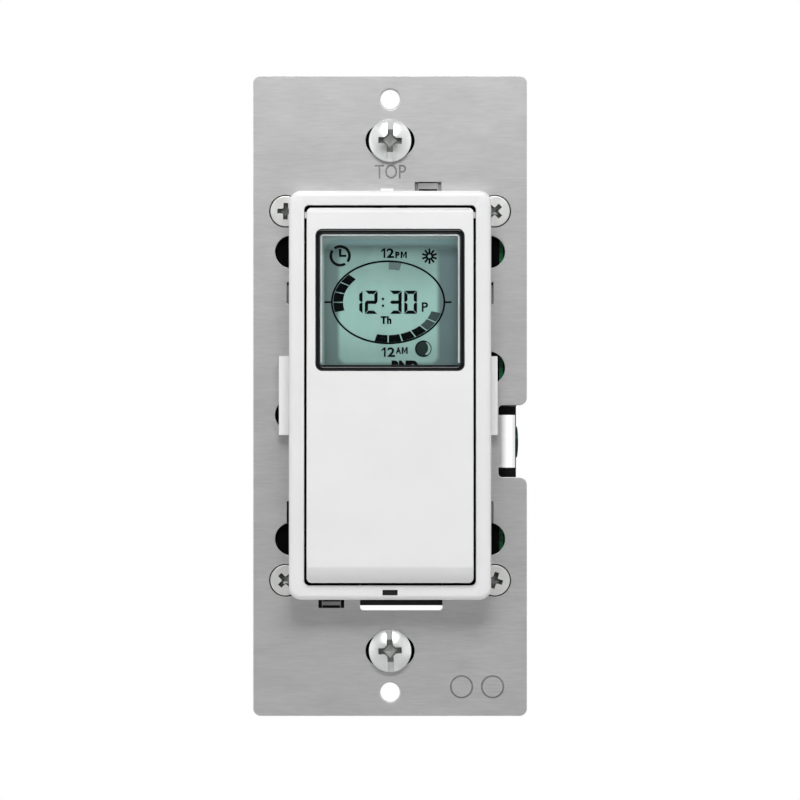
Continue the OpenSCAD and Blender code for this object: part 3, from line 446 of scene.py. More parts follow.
# The least angle between two faces whose edge is rounded
SHARP_EDGE = math.radians(40)


def round_edges(bm, radius, segments, picked):
    """Rounds the sharp outer edges whose middle, in millimetres, is picked."""
    edges = []
    for edge in bm.edges:
        if not edge.is_manifold or edge.calc_face_angle_signed(0.0) < SHARP_EDGE:
            continue
        if picked((edge.verts[0].co + edge.verts[1].co) / 2 / MM):
            edges.append(edge)
    bmesh.ops.bevel(bm, geom=edges, offset=radius * MM, offset_type="OFFSET", segments=segments,
                    profile=0.5, affect="EDGES", clamp_overlap=False)


def refill(bm, depth):
    """Lays the flat face at one depth anew between the edges around it."""
    flat = [f for f in bm.faces if all(abs(v.co.y / MM - depth) < 1e-3 for v in f.verts)]
    bmesh.ops.delete(bm, geom=flat, context="FACES")
    loose = [e for e in bm.edges if not e.link_faces]
    bmesh.ops.delete(bm, geom=loose, context="EDGES")
    rim = [e for e in bm.edges if e.is_boundary]
    bmesh.ops.triangle_fill(bm, use_beauty=True, use_dissolve=False, edges=rim, normal=(0, -1, 0))


def shell(name, bm, finish=None):
    """Puts a reworked mesh in the place of the node that it was copied from."""
    slot = slot_of[name]
    piece(name + "_shell", bm, body_of[name], [finish or slot], [name])


def soft_node(name, radius, segments, picked, finish=None):
    """Replaces a node with its own shape, the picked sharp edges rounded."""
    bm = node_mesh(name)
    round_edges(bm, radius, segments, picked)
    shell(name, bm, finish)


def at(depth, outline):
    """A flat outline of (x, z) set at a depth."""
    return [(x, depth, z) for x, z in outline]


def rectangle(left, right, low, high):
    """The corners of a rectangle, in X and Z."""
    return [(left, low), (right, low), (right, high), (left, high)]


def circle(radius, centre=(0, 0), steps=48):
    """Points round a circle, in X and Z."""
    turns = [2 * math.pi * k / steps for k in range(steps)]
    return [(centre[0] + radius * math.cos(t), centre[1] + radius * math.sin(t)) for t in turns]


def rounded_loop(width, height, corner, steps=8):
    """Points round a rectangle about the origin with round corners, in X and Z."""
    points = []
    for turn, (sx, sz) in enumerate(((1, 1), (-1, 1), (-1, -1), (1, -1))):
        for step in range(steps + 1):
            angle = math.radians(90 * turn + 90 * step / steps)
            points.append((sx * (width / 2 - corner) + corner * math.cos(angle),
                           sz * (height / 2 - corner) + corner * math.sin(angle)))
    return points


def skin(bm, loops, closed=True, slot=0):
    """Joins loops of (x, y, z) with quads, and the last loop to the first if closed."""
    rings = [[bm.verts.new(Vector(point) * MM) for point in loop] for loop in loops]
    following = rings[1:] + rings[:1] if closed else rings[1:]
    for near, far in zip(rings, following):
        for k in range(len(near)):
            j = (k + 1) % len(near)
            face = bm.faces.new((near[k], near[j], far[j], far[k]))
            face.material_index = slot
    return rings


def plug(bm, loops, slot=0, end_slot=0):
    """Joins loops into a solid with a flat face at either end."""
    rings = skin(bm, loops, closed=False, slot=slot)
    for ring in (rings[0], rings[-1]):
        face = bm.faces.new(ring)
        face.material_index = end_slot


def trench(outer, inner, top, floor):
    """A ring between two flat outlines and two depths, to be cut from a piece."""
    bm = bmesh.new()
    skin(bm, [at(top, outer), at(floor, outer), at(floor, inner), at(top, inner)])
    return bm


def prism(bm, outline, front, back, slot=0):
    """A flat outline of (x, z) made solid between two depths."""
    plug(bm, [at(front, outline), at(back, outline)], slot, slot)


def block(outline, front, back):
    """A prism as a mesh of its own, to be cut from a piece."""
    bm = bmesh.new()
    prism(bm, outline, front, back)
    return bm


def join(bm, other, matrix=Matrix()):
    """Adds another mesh to this one and frees it."""
    mesh = bpy.data.meshes.new("part")
    other.to_mesh(mesh)
    other.free()
    mesh.transform(matrix)
    bm.from_mesh(mesh)
    bpy.data.meshes.remove(mesh)


# The strap's finishes, with numbers for those after the plain one: a painted highlight for the ground tab,
# darker painted shade for the rest
STRAP_FINISHES = ["strap_steel", "stamped_steel", "shade_steel", "tongue_steel", "tab_highlight_steel",
                  "lance_steel"]
STAMPED, SHADE, TONGUE, TAB, LANCE = range(1, len(STRAP_FINISHES))

# Finishes that a cut can tell apart
CUT_SLOTS = len(STRAP_FINISHES)


def tagged(bm, slot):
    """Marks every face of a mesh with one of its piece's finishes."""
    for face in bm.faces:
        face.material_index = slot
    return bm


def carve(bm, cutter, operation="DIFFERENCE"):
    """Cuts one closed mesh from another, or unites them; the cutter's faces keep their finish."""
    made = []
    for name, source in (("body", bm), ("cutter", cutter)):
        bmesh.ops.recalc_face_normals(source, faces=source.faces)
        mesh = bpy.data.meshes.new(name)
        source.to_mesh(mesh)
        source.free()
        obj = bpy.data.objects.new(name, mesh)
        bpy.context.collection.objects.link(obj)
        for _ in range(CUT_SLOTS):
            mesh.materials.append(None)
        made.append(obj)
    cut = made[0].modifiers.new("cut", "BOOLEAN")
    cut.object, cut.operation, cut.solver = made[1], operation, "EXACT"
    result = bmesh.new()
    result.from_object(made[0], bpy.context.evaluated_depsgraph_get())
    for obj in made:
        mesh = obj.data
        bpy.data.objects.remove(obj)
        bpy.data.meshes.remove(mesh)
    return result


# Letters, figures and signs


def lettering(words, box, front, back, weight=0.0):
    """Letters as a solid that fills a box of left, right, low and high between two depths."""
    left, right, low, high = box
    curve = bpy.data.curves.new("letters", "FONT")
    curve.body, curve.extrude, curve.offset, curve.resolution_u = words, 0.5, weight, 4
    holder = bpy.data.objects.new("letters", curve)
    bpy.context.collection.objects.link(holder)
    shown = holder.evaluated_get(bpy.context.evaluated_depsgraph_get())
    bm = bmesh.new()
    bm.from_mesh(shown.to_mesh())
    bpy.data.objects.remove(holder)
    bpy.data.curves.remove(curve)
    bmesh.ops.remove_doubles(bm, verts=bm.verts, dist=1e-4)
    spans = [(min(v.co[axis] for v in bm.verts), max(v.co[axis] for v in bm.verts)) for axis in (0, 1)]
    for vert in bm.verts:
        along, up = [(vert.co[axis] - start) / (end - start) for axis, (start, end) in enumerate(spans)]
        depth = front if vert.co.z > 0 else back
        vert.co = Vector((left + along * (right - left), depth, low + up * (high - low))) * MM
    return bm


def letter_t(box, bar_h, stem_w):
    """A capital T, its stem in the middle of the box."""
    left, right, low, high = box
    stem_left, stem_right = (left + right - stem_w) / 2, (left + right + stem_w) / 2
    under = high - bar_h
    return [(left, high), (right, high), (right, under), (stem_right, under),
            (stem_right, low), (stem_left, low), (stem_left, under), (left, under)]


def letter_m(box, stroke):
    """A capital M, its middle reaching down to the line."""
    left, right, low, high = box
    middle, tall, slant = (left + right) / 2, high - low, 1.2 * stroke
    fork, tip, armpit = low + 0.42 * tall, low + 0.06 * tall, low + 0.66 * tall
    return [(left, low), (left, high), (left + slant, high), (middle, fork),
            (right - slant, high), (right, high), (right, low), (right - stroke, low),
            (right - stroke, armpit), (middle, tip), (left + stroke, armpit), (left + stroke, low)]


def numeral_one(right, low, high):
    """A 1 with a short flag."""
    flag, flag_top, flag_foot, armpit = 0.4, high - 0.4, high - 0.64, high - 0.36
    left = right - 0.29
    return [(left, low), (right, low), (right, high), (left, high),
            (left - flag, flag_top), (left - flag, flag_foot), (left, armpit)]


def ellipse(centre, axes, angle):
    """The point of an ellipse at an angle in degrees."""
    turn = math.radians(angle)
    return centre[0] + axes[0] * math.cos(turn), centre[1] + axes[1] * math.sin(turn)


def arc_band(centre, inner, outer, start, end, steps=6):
    """Part of an elliptical band, between two pairs of half axes."""
    angles = [start + (end - start) * k / steps for k in range(steps + 1)]
    outside = [ellipse(centre, outer, a) for a in angles]
    inside = [ellipse(centre, inner, a) for a in reversed(angles)]
    return outside + inside


def bar(start, end, width):
    """A straight stroke between two points."""
    start, end = Vector(start), Vector(end)
    along = (end - start).normalized() * width / 2
    across = Vector((-along.y, along.x))
    return [start + across, start - across, end - across, end + across]


# Which bars of a seven-bar digit are lit: a to f clockwise from the top, g in the middle
LIT = {"0": "abcdef", "1": "bc", "2": "abged", "3": "abgcd"}


def digit(figure, box, stroke):
    """The bars of a seven-bar digit, with mitred ends and thin gaps between them."""
    left, right, low, high = box
    middle, half, gap = (low + high) / 2, stroke / 2, 0.06
    ends = {
        "a": ((left, high), (right, high), (0, -1)), "d": ((left, low), (right, low), (0, 1)),
        "b": ((right, high), (right, middle), (-1, 0)), "c": ((right, middle), (right, low), (-1, 0)),
        "f": ((left, high), (left, middle), (1, 0)), "e": ((left, middle), (left, low), (1, 0)),
    }
    outlines = []
    for name in LIT[figure]:
        if name == "g":
            first, last, under, over = left + gap, right - gap, middle - half, middle + half
            outlines.append([(first, middle), (first + half, over), (last - half, over), (last, middle),
                             (last - half, under), (first + half, under)])
            continue
        start, end, inward = [Vector(point) for point in ends[name]]
        along = (end - start).normalized()
        start, end = start + along * gap, end - along * gap
        over_start, over_end = start + inward * stroke, end + inward * stroke
        if name in "ad":
            inside = [over_end - along * stroke, over_start + along * stroke]
        elif name in "bf":
            inside = [end + inward * half, over_end - along * half, over_start + along * stroke]
        else:
            inside = [over_end - along * stroke, over_start + along * half, start + inward * half]
        outlines.append([start, end] + inside)
    return outlines


# The display's prints: their depths on the front glass, and numbers for their finishes
PRINT_FRONT = DISPLAY_FRONT - 0.02
PRINT_BACK = DISPLAY_FRONT + 0.005
PRINT_FINISHES = ["ink", "ink_mid", "ink_pale", "display_glass", "ink_deep"]
INK, INK_MID, INK_PALE, FIELD, INK_DEEP = range(len(PRINT_FINISHES))


def show(bm, outline, slot=INK):
    """Prints a flat outline on the display."""
    prism(bm, outline, PRINT_FRONT, PRINT_BACK, slot)


def print_dial(bm):
    """The dial, the hours that are set on it and a short line at either side."""
    centre, half_axes = (-0.32, 15.22), (9.18, 6.70)
    hour, hour_gap, hour_reach, line, level = 15, 0.7, (0.80, 0.975), 0.3, 15.24
    inner, outer = [a - line / 2 for a in half_axes], [a + line / 2 for a in half_axes]
    for start in range(0, 360, hour):
        show(bm, arc_band(centre, inner, outer, start, start + hour))
    inner, outer = [[a * share for a in half_axes] for share in hour_reach]
    hours = {INK: (135, 150, 165, 180, -60, -75, -90, -105), INK_PALE: (75,), INK_MID: (-30, -45)}
    for slot, starts in hours.items():
        for start in starts:
            show(bm, arc_band(centre, inner, outer, start + hour_gap, start + hour - hour_gap), slot)
    for left, right in ((-10.75, -9.45), (8.89, 10.03)):
        show(bm, bar((left, level), (right, level), line))


def print_time(bm):
    """The time in seven-bar digits, with a colon."""
    low, high, stroke = 13.33, 17.12, 0.54
    figures = (("1", -5.05, -4.5), ("2", -4.12, -2.04), ("3", -0.07, 1.9), ("0", 2.31, 4.40))
    for figure, left, right in figures:
        for outline in digit(figure, (left, right, low, high), stroke):
            show(bm, outline)
    for z in (15.76, 14.66):
        show(bm, bar((-1.34, z), (-0.98, z), 0.38))


def print_words(bm):
    """The words and numbers round the time."""
    words = [("P", (5.17, 6.2, 13.67, 15.22), 0.02), ("h", (-0.5, 0.21, 11.67, 12.96), 0.055),
             ("2", (-0.56, 0.66, 22.46, 24.02), 0.03), ("P", (0.85, 1.56, 22.42, 23.49), 0.06),
             ("2", (-0.44, 0.8, 6.3, 7.86), 0.03), ("A", (0.93, 1.8, 6.81, 7.9), 0.05),
             ("RND", (0.24, 4.6, 3.75, 5.72), 0.08)]
    for text, box, weight in words:
        join(bm, lettering(text, box, PRINT_FRONT, PRINT_BACK, weight))
    show(bm, letter_t((-1.54, -0.56, 11.67, 12.96), 0.3, 0.32))
    for box in ((1.72, 2.74, 22.42, 23.49), (1.9, 2.88, 6.81, 7.9)):
        show(bm, letter_m(box, 0.26))
    for right, low, high in ((-0.78, 22.46, 24.02), (-0.72, 6.3, 7.86)):
        show(bm, numeral_one(right, low, high))


def print_signs(bm):
    """The clock sign, the sun and the moon."""
    clock = Vector((-8.15, 22.8))
    for start, end in ((-38, 40), (40, 126), (146, 232), (232, 302)):
        show(bm, arc_band(clock, (1.3, 1.3), (1.75, 1.75), start, end, steps=12))
    show(bm, bar(clock, clock + Vector((0, 1.15)), 0.4))
    show(bm, bar(clock - Vector((0.17, 0)), clock + Vector((1.0, 0)), 0.36))
    sun, arc, rays = (6.43, 22.73), 45, 10
    for start in range(0, 360, arc):
        show(bm, arc_band(sun, (0.3, 0.3), (0.62, 0.62), start, start + arc, steps=3))
    for k in range(rays):
        turn = 90 + 360 / rays * k
        show(bm, bar(ellipse(sun, (0.6, 0.6), turn), ellipse(sun, (1.24, 1.24), turn), 0.33))

    # The moon's disc, its darker inside and its crescent lie on each other in thin layers
    moon, shadow, layer = (5.42, 7.63), (5.0, 7.75), 0.004
    show(bm, circle(1.36, moon, 28))
    prism(bm, circle(1.16, moon, 28), PRINT_FRONT - layer, PRINT_FRONT, INK_DEEP)
    crescent = [ellipse(moon, (1.2, 1.2), a) for a in range(-60, 61, 6)]
    crescent += [ellipse(shadow, (1.22, 1.24), a) for a in range(48, -55, -6)]
    prism(bm, crescent, PRINT_FRONT - 2 * layer, PRINT_FRONT, FIELD)


def add_display_marks():
    """The figures and signs of the clock display, as thin prints on its front glass."""
    bm = bmesh.new()
    print_dial(bm)
    print_time(bm)
    print_words(bm)
    print_signs(bm)
    piece("display_marks", bm, "base", PRINT_FINISHES)


def add_lens():
    """The clear pane, its bevelled edge given a pale finish as a painted glint, except at its foot."""
    pane, edge = 0, 1
    low, high = low_of("display_lens"), high_of("display_lens")
    width, height, corner, least_corner = high.x - low.x, 21.64, 0.57, 0.2
    thick, recess, slope, slope_depth, drop = 1.14, 0.36, 0.3, 0.22, -15.06

    def loop(inset, depth):
        points = rounded_loop(width - 2 * inset, height - 2 * inset, max(corner - inset, least_corner))
        return at(depth, [(x, z + drop) for x, z in points])

    bm = bmesh.new()
    plug(bm, [loop(slope, recess), loop(0, recess + slope_depth), loop(0, recess + thick)], slot=edge)
    foot = (drop - height / 2 + corner) * MM
    for face in bm.faces:
        if face.calc_center_median().z < foot:
            face.material_index = pane

    # The loops hang from the pad's upper edge, and lean with its face
    lean = Matrix.Translation(Vector((0, FRAME_FRONT, PAD_TOP)) * MM) @ Matrix.Rotation(-PAD_TILT, 4, "X")
    bmesh.ops.transform(bm, matrix=lean, verts=bm.verts)
    finishes = ["clear_lens", "lens_glint"]
    piece("lens_pane", bm, "cover", finishes, ["display_lens"], smooth_angle=15)


# Screws

# A screw's finishes after the plain one, each darker as painted shade in its hollow: the cross's arms, the
# slot or gap round the head, and the pit
ARMS, GAP, PIT = 1, 2, 3


def lathe(profile, steps):
    """Turns a profile of (radius, depth) about the Y axis into a closed solid."""
    bm = bmesh.new()
    plug(bm, [at(depth, circle(radius, steps=steps)) for radius, depth in profile])
    return bm


def cross_cutter(span, width, top, floor, pit):
    """A driver's recess: four arms, and a four-sided pit of given radii and depths."""
    above, half, floor_half = top - 0.6, span / 2, span * 0.47
    profile = [(pit[0][0], above)] + [(radius, top + depth) for radius, depth in pit]
    parts = tagged(lathe(profile, 4), PIT)
    outline = [(-half, above), (half, above), (half, top),
               (floor_half, top + floor), (-floor_half, top + floor), (-half, top)]
    sides = [[(x, y, z) for x, y in outline] for z in (-width / 2, width / 2)]
    for turn in (0, 90):
        arm = bmesh.new()
        plug(arm, sides)
        bmesh.ops.transform(arm, matrix=Matrix.Rotation(math.radians(turn), 4, "Y"), verts=arm.verts)
        parts = carve(parts, tagged(arm, ARMS), "UNION")
    return parts


def thread(crest, root, start, end, pitch):
    """A screw thread as one winding sheet, narrower at its tip and closed at both ends."""
    steps, rows_per_turn = 24, 8
    crest_height, flank, tip_share = 1.35, 3.4, 0.75
    count = int((end - start) / pitch * rows_per_turn)
    rows = []
    for row in range(count + 1):
        depth = start + (end - start) * row / count
        taper = min(1.0, (end - depth) / pitch + tip_share)
        ring = []
        for k in range(steps):
            phase = ((depth - start) / pitch - k / steps) % 1.0
            height = min(1.0, max(0.0, crest_height - abs(phase - 0.5) * flank))
            radius = (root + (crest - root) * height) * taper
            turn = 2 * math.pi * k / steps
            ring.append((radius * math.cos(turn), depth, radius * math.sin(turn)))
        rows.append(ring)
    bm = bmesh.new()
    plug(bm, rows)
    return bm


def screwed_in(x, z, turn):
    """A screw's place on the strap, turned by some degrees."""
    return Matrix.Translation(Vector((x, 0, z)) * MM) @ Matrix.Rotation(math.radians(turn), 4, "Y")


def add_mounting_screws():
    """Domed heads with a slot and a cross, on necks and threaded shanks."""
    head_r, head_front, dome_r, dome_steps = 3.475, STRAP_FRONT - 1.9, 6.0, 14
    neck_r, neck_end, thread_start = 1.45, 1.1, 1.07
    slot_half, slot_reach, slot_floor = 0.5, 4, head_front + 1.15
    pit = [(1.42, 0.95), (1.05, 1.4), (0.3, 1.7)]
    profile = []
    for k in range(1, dome_steps):
        angle = math.asin(head_r / dome_r) * k / dome_steps
        profile.append((dome_r * math.sin(angle), head_front + 0.03 + dome_r * (1 - math.cos(angle))))
    profile += [(head_r - 0.03, STRAP_FRONT - 0.78), (head_r, STRAP_FRONT - 0.66),
                (head_r, STRAP_FRONT - 0.1), (head_r - 0.1, STRAP_FRONT),
                (neck_r, STRAP_FRONT), (neck_r, neck_end)]
    done = bmesh.new()
    for z, turn in ((MOUNTING_SCREW_Z, 2), (-MOUNTING_SCREW_Z, -3)):
        outline = rectangle(-slot_half, slot_half, -slot_reach, slot_reach)
        head = carve(lathe(profile, 64), tagged(block(outline, head_front - 0.5, slot_floor), GAP))
        head = carve(head, cross_cutter(span=3.9, width=1.0, top=head_front, floor=1.2, pit=pit))
        shank = thread(crest=1.75, root=1.38, start=thread_start, end=SCREW_END, pitch=0.794)
        for part in (head, shank):
            join(done, part, screwed_in(0, z, turn))
    name, finishes = "mounting_screws", ["screw_steel", "cross_steel", "slot_steel", "recess_steel"]
    piece(name + "_turned", done, "base", finishes, [name], smooth_angle=28)


def add_strap_screws():
    """Countersunk cross-head screws, each turned as it was left."""
    head_r, shank_r, shank_end, tip_r, tip_end, ring_r = 2.5, 1.4, 8.4, 0.7, 9.0, 2.72
    profile = [(head_r - 0.14, STRAP_FRONT), (head_r - 0.04, STRAP_FRONT + 0.03),
               (head_r, STRAP_FRONT + 0.12), (shank_r, 0.0), (shank_r, shank_end), (tip_r, tip_end)]
    gap = [(head_r - 0.1, 0.1), (ring_r, 0.06), (ring_r - 0.3, 0.4), (2.0, 0.4)]
    pit = [(0.92, 0.3), (0.7, 0.6), (0.2, 0.8)]
    done = bmesh.new()
    for side, row, turn in ((-1, 1, 2), (1, 1, 45), (-1, -1, 45), (1, -1, 17)):
        x, z = side * STRAP_SCREW_X, row * STRAP_SCREW_Z
        recess = cross_cutter(span=2.7, width=0.76, top=STRAP_FRONT, floor=0.45, pit=pit)
        join(done, carve(lathe(profile, 64), recess), screwed_in(x, z, turn))

        # A near-black ring as painted shadow in the gap between the head and its countersink
        ring = bmesh.new()
        skin(ring, [at(STRAP_FRONT + depth, circle(radius, (x, z), 60)) for radius, depth in gap])
        join(done, tagged(ring, GAP))
    name, finishes = "strap_screws", ["sunk_steel", "recess_shade_steel", "shade_steel", "cross_steel"]
    piece(name + "_turned", done, "base", finishes, [name], smooth_angle=25)


# The strap

# Half-pierced lances in the strap as left, right, lower and upper edge
LANCES = ((3.98, 8.4, 33.35, 34.95), (-11.74, -7.48, -34.65, -33.3))

# The two sides of the slots for the frame's legs, as distances from the middle
LEG_SLOT = (16.4, 16.8)

# Depths of what is cut into the strap, from a little in front of it
CUT_START = STRAP_FRONT - 0.2
STAMP_FLOOR = STRAP_FRONT + 0.12
LINE_FLOOR = STRAP_FRONT + 0.03
GROOVE_FLOOR = STRAP_FRONT + 0.5


def paint_strap(bm):
    """Paints the ground tab brighter as a painted highlight, and the sunk faces in the leg slots and lances
    darker as painted shade.
    """
    tab_left, tab_z, tab_half = 17.75, -7.43, 4.5
    leg_margin, lance_margin, lance_reach = 0.1, 0.2, 1.5
    for face in bm.faces:
        x, y, z = face.calc_center_median() / MM
        if x > tab_left and abs(z - tab_z) < tab_half:
            face.material_index = TAB
        if face.normal.y >= -0.9 or not STRAP_FRONT + 0.1 < y < 0:
            continue
        if LEG_SLOT[0] - leg_margin < abs(x) < LEG_SLOT[1] + leg_margin:
            face.material_index = SHADE if x < 0 and z < 0 else TONGUE
        for left, right, low, high in LANCES:
            level = low - lance_reach < z < high + lance_reach
            if level and left - lance_margin < x < right + lance_margin:
                face.material_index = LANCE if z > 0 else TONGUE


def on_strap_rim(middle):
    """Picks the edges at the strap's front that aren't round a countersunk screw."""
    countersink_r = 3.2
    from_screw = math.hypot(abs(middle.x) - STRAP_SCREW_X, abs(middle.z) - STRAP_SCREW_Z)
    return middle.y < STRAP_FRONT + 0.02 and from_screw >= countersink_r


def stamp_strap(bm):
    """Cuts the word, two plain punch rings, the line round the pad and the lances' grooves; the word and
    rings darker, the line and grooves near black, as painted shade.
    """
    word = lettering("OP", (-0.81, 2.6, 35.45, 37.75), CUT_START, STAMP_FLOOR)
    prism(word, letter_t((-2.5, -0.98, 35.48, 37.72), 0.29, 0.26), CUT_START, STAMP_FLOOR)
    bm = carve(bm, tagged(word, STAMPED))
    ring_outer, ring_inner = 1.9, 1.62
    for centre in ((11.67, -47.55), (16.75, -47.55)):
        ring = trench(circle(ring_outer, centre), circle(ring_inner, centre), CUT_START, STAMP_FLOOR)
        bm = carve(bm, tagged(ring, STAMPED))

    # The painted shadow line under the gap round the pad
    line_w, line_h, outwards, inwards = 27.2, 61.2, 1.1, -0.6
    outer, inner = [rounded_loop(line_w + grow, line_h + grow, 0.5) for grow in (outwards, inwards)]
    bm = carve(bm, tagged(trench(outer, inner, CUT_START, LINE_FLOOR), SHADE))
    # The lances' grooves, near black as painted shade
    short, foot_line, top_edge = 0.7, 0.42, 0.02
    for left, right, low, high in LANCES:
        top, top_line = high - top_edge, 0.18 if low > 0 else 0.3
        for groove_low, groove_high in ((top - top_line, top), (low, low + foot_line)):
            outline = rectangle(left + short, right - short, groove_low, groove_high)
            bm = carve(bm, tagged(block(outline, CUT_START, GROOVE_FLOOR), SHADE))
    return bm


def add_shadows(bm):
    """Plates painted dark as shade in the slits beside the lances, and a painted shadow at the upper end of
    the leg slots.
    """
    past, plate_front, plate_back = 0.1, STRAP_FRONT + 0.75, STRAP_FRONT + 1.15
    for left, right, low, high in LANCES:
        outline = rectangle(left - past, right + past, low - past, high + past)
        prism(bm, outline, plate_front, plate_back, TONGUE if low > 0 else SHADE)
    shadow_low, shadow_high, shadow_front, thick = 18.05, 18.5, STRAP_FRONT + 0.35, 0.1
    for side in (-1, 1):
        outline = rectangle(side * LEG_SLOT[0], side * LEG_SLOT[1], shadow_low, shadow_high)
        prism(bm, outline, shadow_front, shadow_front + thick, SHADE)


def add_tapping(bm, middle):
    """Thread crests round the inside of a tapped hole."""
    wall, root, crest, pitch, turns = 1.78, 1.68, 1.58, 0.36, 3
    profile = [(wall, STRAP_FRONT + 0.08)]
    for turn in range(turns):
        start = STRAP_FRONT + 0.1 + pitch * turn
        profile += [(crest, start + pitch * 0.4), (root, start + pitch * 0.9)]
    profile.append((wall, -0.04))
    skin(bm, [at(depth, circle(radius, (0, middle))) for radius, depth in profile])


def add_strap():
    """The stamped strap, with eased front edges and threads in its tapped holes."""
    bm = node_mesh("mounting_strap")
    paint_strap(bm)
    round_edges(bm, 0.1, 2, on_strap_rim)
    bm = stamp_strap(bm)
    add_shadows(bm)
    for middle in (TAPPED_HOLE_Z, -TAPPED_HOLE_Z):
        add_tapping(bm, middle)
    piece("strap_stamped", bm, "base", STRAP_FINISHES, ["mounting_strap"])


# Pad, frame and sheet


def add_pad():
    """The pad, with a slight crease where its lower lip begins and its edges eased."""
    lip_top, lip_h, lip_depth, share = -27.8, 2.8, 2.2, 0.45
    rim_x, rim_z, rim_back, spared_x, spared_z = 12.6, 30.2, -6.2, 4.6, 28.5
    face_low = FRAME_FRONT - (PAD_TOP - lip_top) * math.tan(PAD_TILT)
    bm = node_mesh("push_pad")
    for vert in bm.verts:
        down = (lip_top - vert.co.z / MM) / lip_h
        if down <= 0.001 or vert.co.y / MM > face_low + lip_depth + 0.05:
            continue
        curve = 1 - math.sqrt(max(0.0, 1 - down * down))
        vert.co.y += share * lip_depth * (down - curve) * MM

    def on_rim(middle):
        spared = abs(middle.x) < spared_x and middle.z > spared_z
        return middle.y < rim_back and not spared and (abs(middle.x) > rim_x or abs(middle.z) > rim_z)

    round_edges(bm, 0.18, 3, on_rim)

    # Ends of the hinge that show in the gap round the pad
    hinge_low, hinge_high, hinge_front, hinge_back = 28.9, 29.9, -6.1, -5.5
    for left, right in ((-13.95, -13.4), (13.4, 13.95)):
        prism(bm, rectangle(left, right, hinge_low, hinge_high), hinge_front, hinge_back)
    shell("push_pad", bm)


def add_frame():
    """The front frame, its left wing the longer one, its edges eased and the slider's slot cut anew."""
    slot_w, slot_h, slot_z, slot_corner, margin = 2.47, 0.89, -32.175, 0.06, 0.1
    wing_x, wing_z, wing_shift = 17.5, 7, 0.3
    outer_x, outer_z, inner_x, inner_z, edge_back = 14.6, 32.9, 14.2, 31.2, FRAME_FRONT + 0.05

    def at_slot(point):
        return abs(point.x) < slot_w / 2 + margin and abs(point.z - slot_z) < slot_h / 2 + margin

    def on_outer_edge(middle):
        return middle.y < edge_back and (abs(middle.x) > outer_x or abs(middle.z) > outer_z)

    def on_inner_edge(middle):
        return middle.y < edge_back and abs(middle.x) < inner_x and abs(middle.z) < inner_z

    bm = node_mesh("face_frame", closing=at_slot)
    for vert in bm.verts:
        if abs(vert.co.x) > wing_x * MM and abs(vert.co.z) < wing_z * MM:
            vert.co.x -= wing_shift * MM
    round_edges(bm, 0.9, 6, on_outer_edge)
    round_edges(bm, 0.15, 2, on_inner_edge)
    refill(bm, FRAME_FRONT)
    outline = [(x, slot_z + z) for x, z in rounded_loop(slot_w, slot_h, slot_corner, steps=2)]
    shell("face_frame", carve(bm, block(outline, FRAME_FRONT - 1, STRAP_FRONT + 0.5)))


def add_sheet():
    """The insulating sheet, its straight sides drawn out to where the vent holes show them."""
    side_from, left, right = 17.35, -18.45, 17.85
    bm = node_mesh("insulator_sheet")
    for vert in bm.verts:
        if abs(vert.co.x) > side_from * MM:
            vert.co.x = (right if vert.co.x > 0 else left) * MM
    shell("insulator_sheet", bm)


def add_pieces():
    """Makes every piece that takes the place of a node, and the display's prints."""
    add_frame()
    add_pad()
    soft_node("window_border", 0.3, 5, lambda middle: middle.y < -6.0, finish="gloss_black")
    add_lens()
    add_display_marks()
    for key in ("mode_button", "up_button", "down_button", "enter_button"):
        soft_node(key, 0.35, 4, lambda middle: middle.y < -3.7)
    add_strap()
    add_mounting_screws()
    add_strap_screws()
    soft_node("rear_housing", 0.6, 4, lambda middle: middle.y > 31.9)
    add_sheet()


# Nodes painted darker than their slot as painted shade: the air-gap contacts deep inside and the pad's
# carrier in the gap round the pad
PAINTED_SHADE_NODES = {"air_gap_contacts": "shaded_bronze", "pad_carrier": "dark_plastic"}


def paint_nodes():
    """Gives every node the finish of its slot, or a darker one as painted shade."""
    for name, obj in nodes.items():
        obj.data.materials.clear()
        obj.data.materials.append(FINISHES[PAINTED_SHADE_NODES.get(name, slot_of[name])].material)


# Lamps, surroundings and floor

# Lamps as place, size and power
LAMPS = {
    "key": ((0, -315, 282), (260, 160), 1.53),
    "left": ((-520, -90, 120), (600, 900), 0.4),
    "right": ((520, -90, 120), (600, 900), 0.63),
    "left_rim": ((-420, 60, 60), (500, 900), 0.55),
    "back": ((200, 640, 420), (420, 420), 0.5),
}

# The light from below and from above that matt faces take from the surroundings
AMBIENT_LOW = 0.06
AMBIENT_HIGH = 0.25

# What polished faces mirror in front and at the sides, and where the one turns into the other
FRONT_GLOSS = 0.16
SIDE_GLOSS = 0.9
SIDE_FADE = (0.2, 0.62)
REAR_FADE = (-0.55, -0.1)


def add_lamp(name, place, size, power):
    """A rectangular lamp that faces the middle of the part."""
    data = bpy.data.lights.new(name, "AREA")
    data.shape = "RECTANGLE"
    data.size, data.size_y = [side * MM for side in size]
    data.energy = power
    lamp = bpy.data.objects.new(name, data)
    bpy.context.collection.objects.link(lamp)
    lamp.location = Vector(place) * MM
    lamp.rotation_euler = (-lamp.location).to_track_quat("-Z", "Y").to_euler()


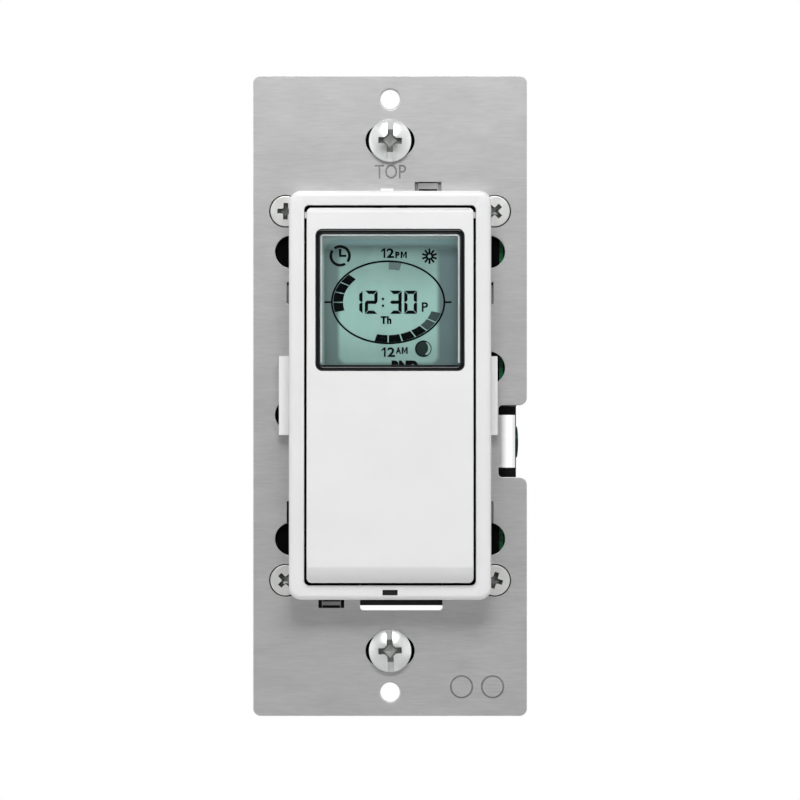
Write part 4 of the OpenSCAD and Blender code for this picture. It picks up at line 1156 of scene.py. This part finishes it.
def add_surroundings():
    """White behind the object, a dimmer front in what polished faces mirror, a fill for matt ones."""
    world = bpy.data.worlds.new("studio")
    bpy.context.scene.world = world
    world.use_nodes = True
    g = Graph(world.node_tree)
    back = g.tree.nodes["Background"]
    path = g.node("LightPath")
    place = g.node("TexCoord")
    axes = g.node("SeparateXYZ")
    g.link(place.outputs["Generated"], axes.inputs["Vector"])
    sides = g.fade(g.math("ABSOLUTE", axes.outputs["X"]), *SIDE_FADE)
    rear = g.fade(axes.outputs["Y"], *REAR_FADE)
    mirrored = g.spread(g.math("MAXIMUM", sides, rear), FRONT_GLOSS, SIDE_GLOSS, 0.0, 1.0, "LINEAR")
    fill = g.spread(axes.outputs["Z"], AMBIENT_LOW, AMBIENT_HIGH, -1.0, 1.0, "LINEAR")
    light = g.mix(path.outputs["Is Glossy Ray"], fill, mirrored, "FLOAT")
    seen = g.math("MAXIMUM", path.outputs["Is Camera Ray"], path.outputs["Is Transmission Ray"])
    g.link(g.mix(seen, light, 1.0, "FLOAT"), back.inputs["Color"])


def floor_white(centre):
    """A pale matt floor that turns into plain white, for the camera alone, further from its centre."""
    fade_start, fade_end = 60.0, 200.0
    f = Finish("floor_white")
    f.colour(f.ramp(f.noise(20), grey(238), grey(244), 0.4, 0.6))
    f.rough(f.noise(40), 0.7, 0.85)
    white = f.node("Emission")
    x, y, _ = f.millimetres()
    fade = f.fade(f.length(x, f.math("SUBTRACT", y, centre)), fade_start, fade_end)
    blend = f.node("MixShader")
    path = f.node("LightPath")
    f.link(f.math("MULTIPLY", fade, path.outputs["Is Camera Ray"]), blend.inputs[0])
    f.link(f.shader.outputs[0], blend.inputs[1])
    f.link(white.outputs[0], blend.inputs[2])
    f.link(blend.outputs[0], f.tree.nodes["Material Output"].inputs["Surface"])
    return f


def add_floor():
    """A pale round floor below the object that fades into the white around it."""
    radius, height, centre = 220.0, -85.0, 16.0
    bm = bmesh.new()
    loops = [[(x, y, height) for x, y in circle(r, (0, centre), 72)] for r in (radius, radius / 2)]
    rings = skin(bm, loops, closed=False)
    bm.faces.new(rings[-1])
    mesh = bpy.data.meshes.new("floor")
    bmesh.ops.recalc_face_normals(bm, faces=bm.faces)
    bm.to_mesh(mesh)
    bm.free()
    mesh.materials.append(floor_white(centre).material)
    floor = bpy.data.objects.new("floor", mesh)
    bpy.context.collection.objects.link(floor)


FINISHES = make_finishes()
add_pieces()
paint_nodes()
add_camera()
add_surroundings()
add_floor()
for name, (place, size, power) in LAMPS.items():
    add_lamp(name, place, size, power)
bpy.context.scene.view_settings.view_transform = "Standard"
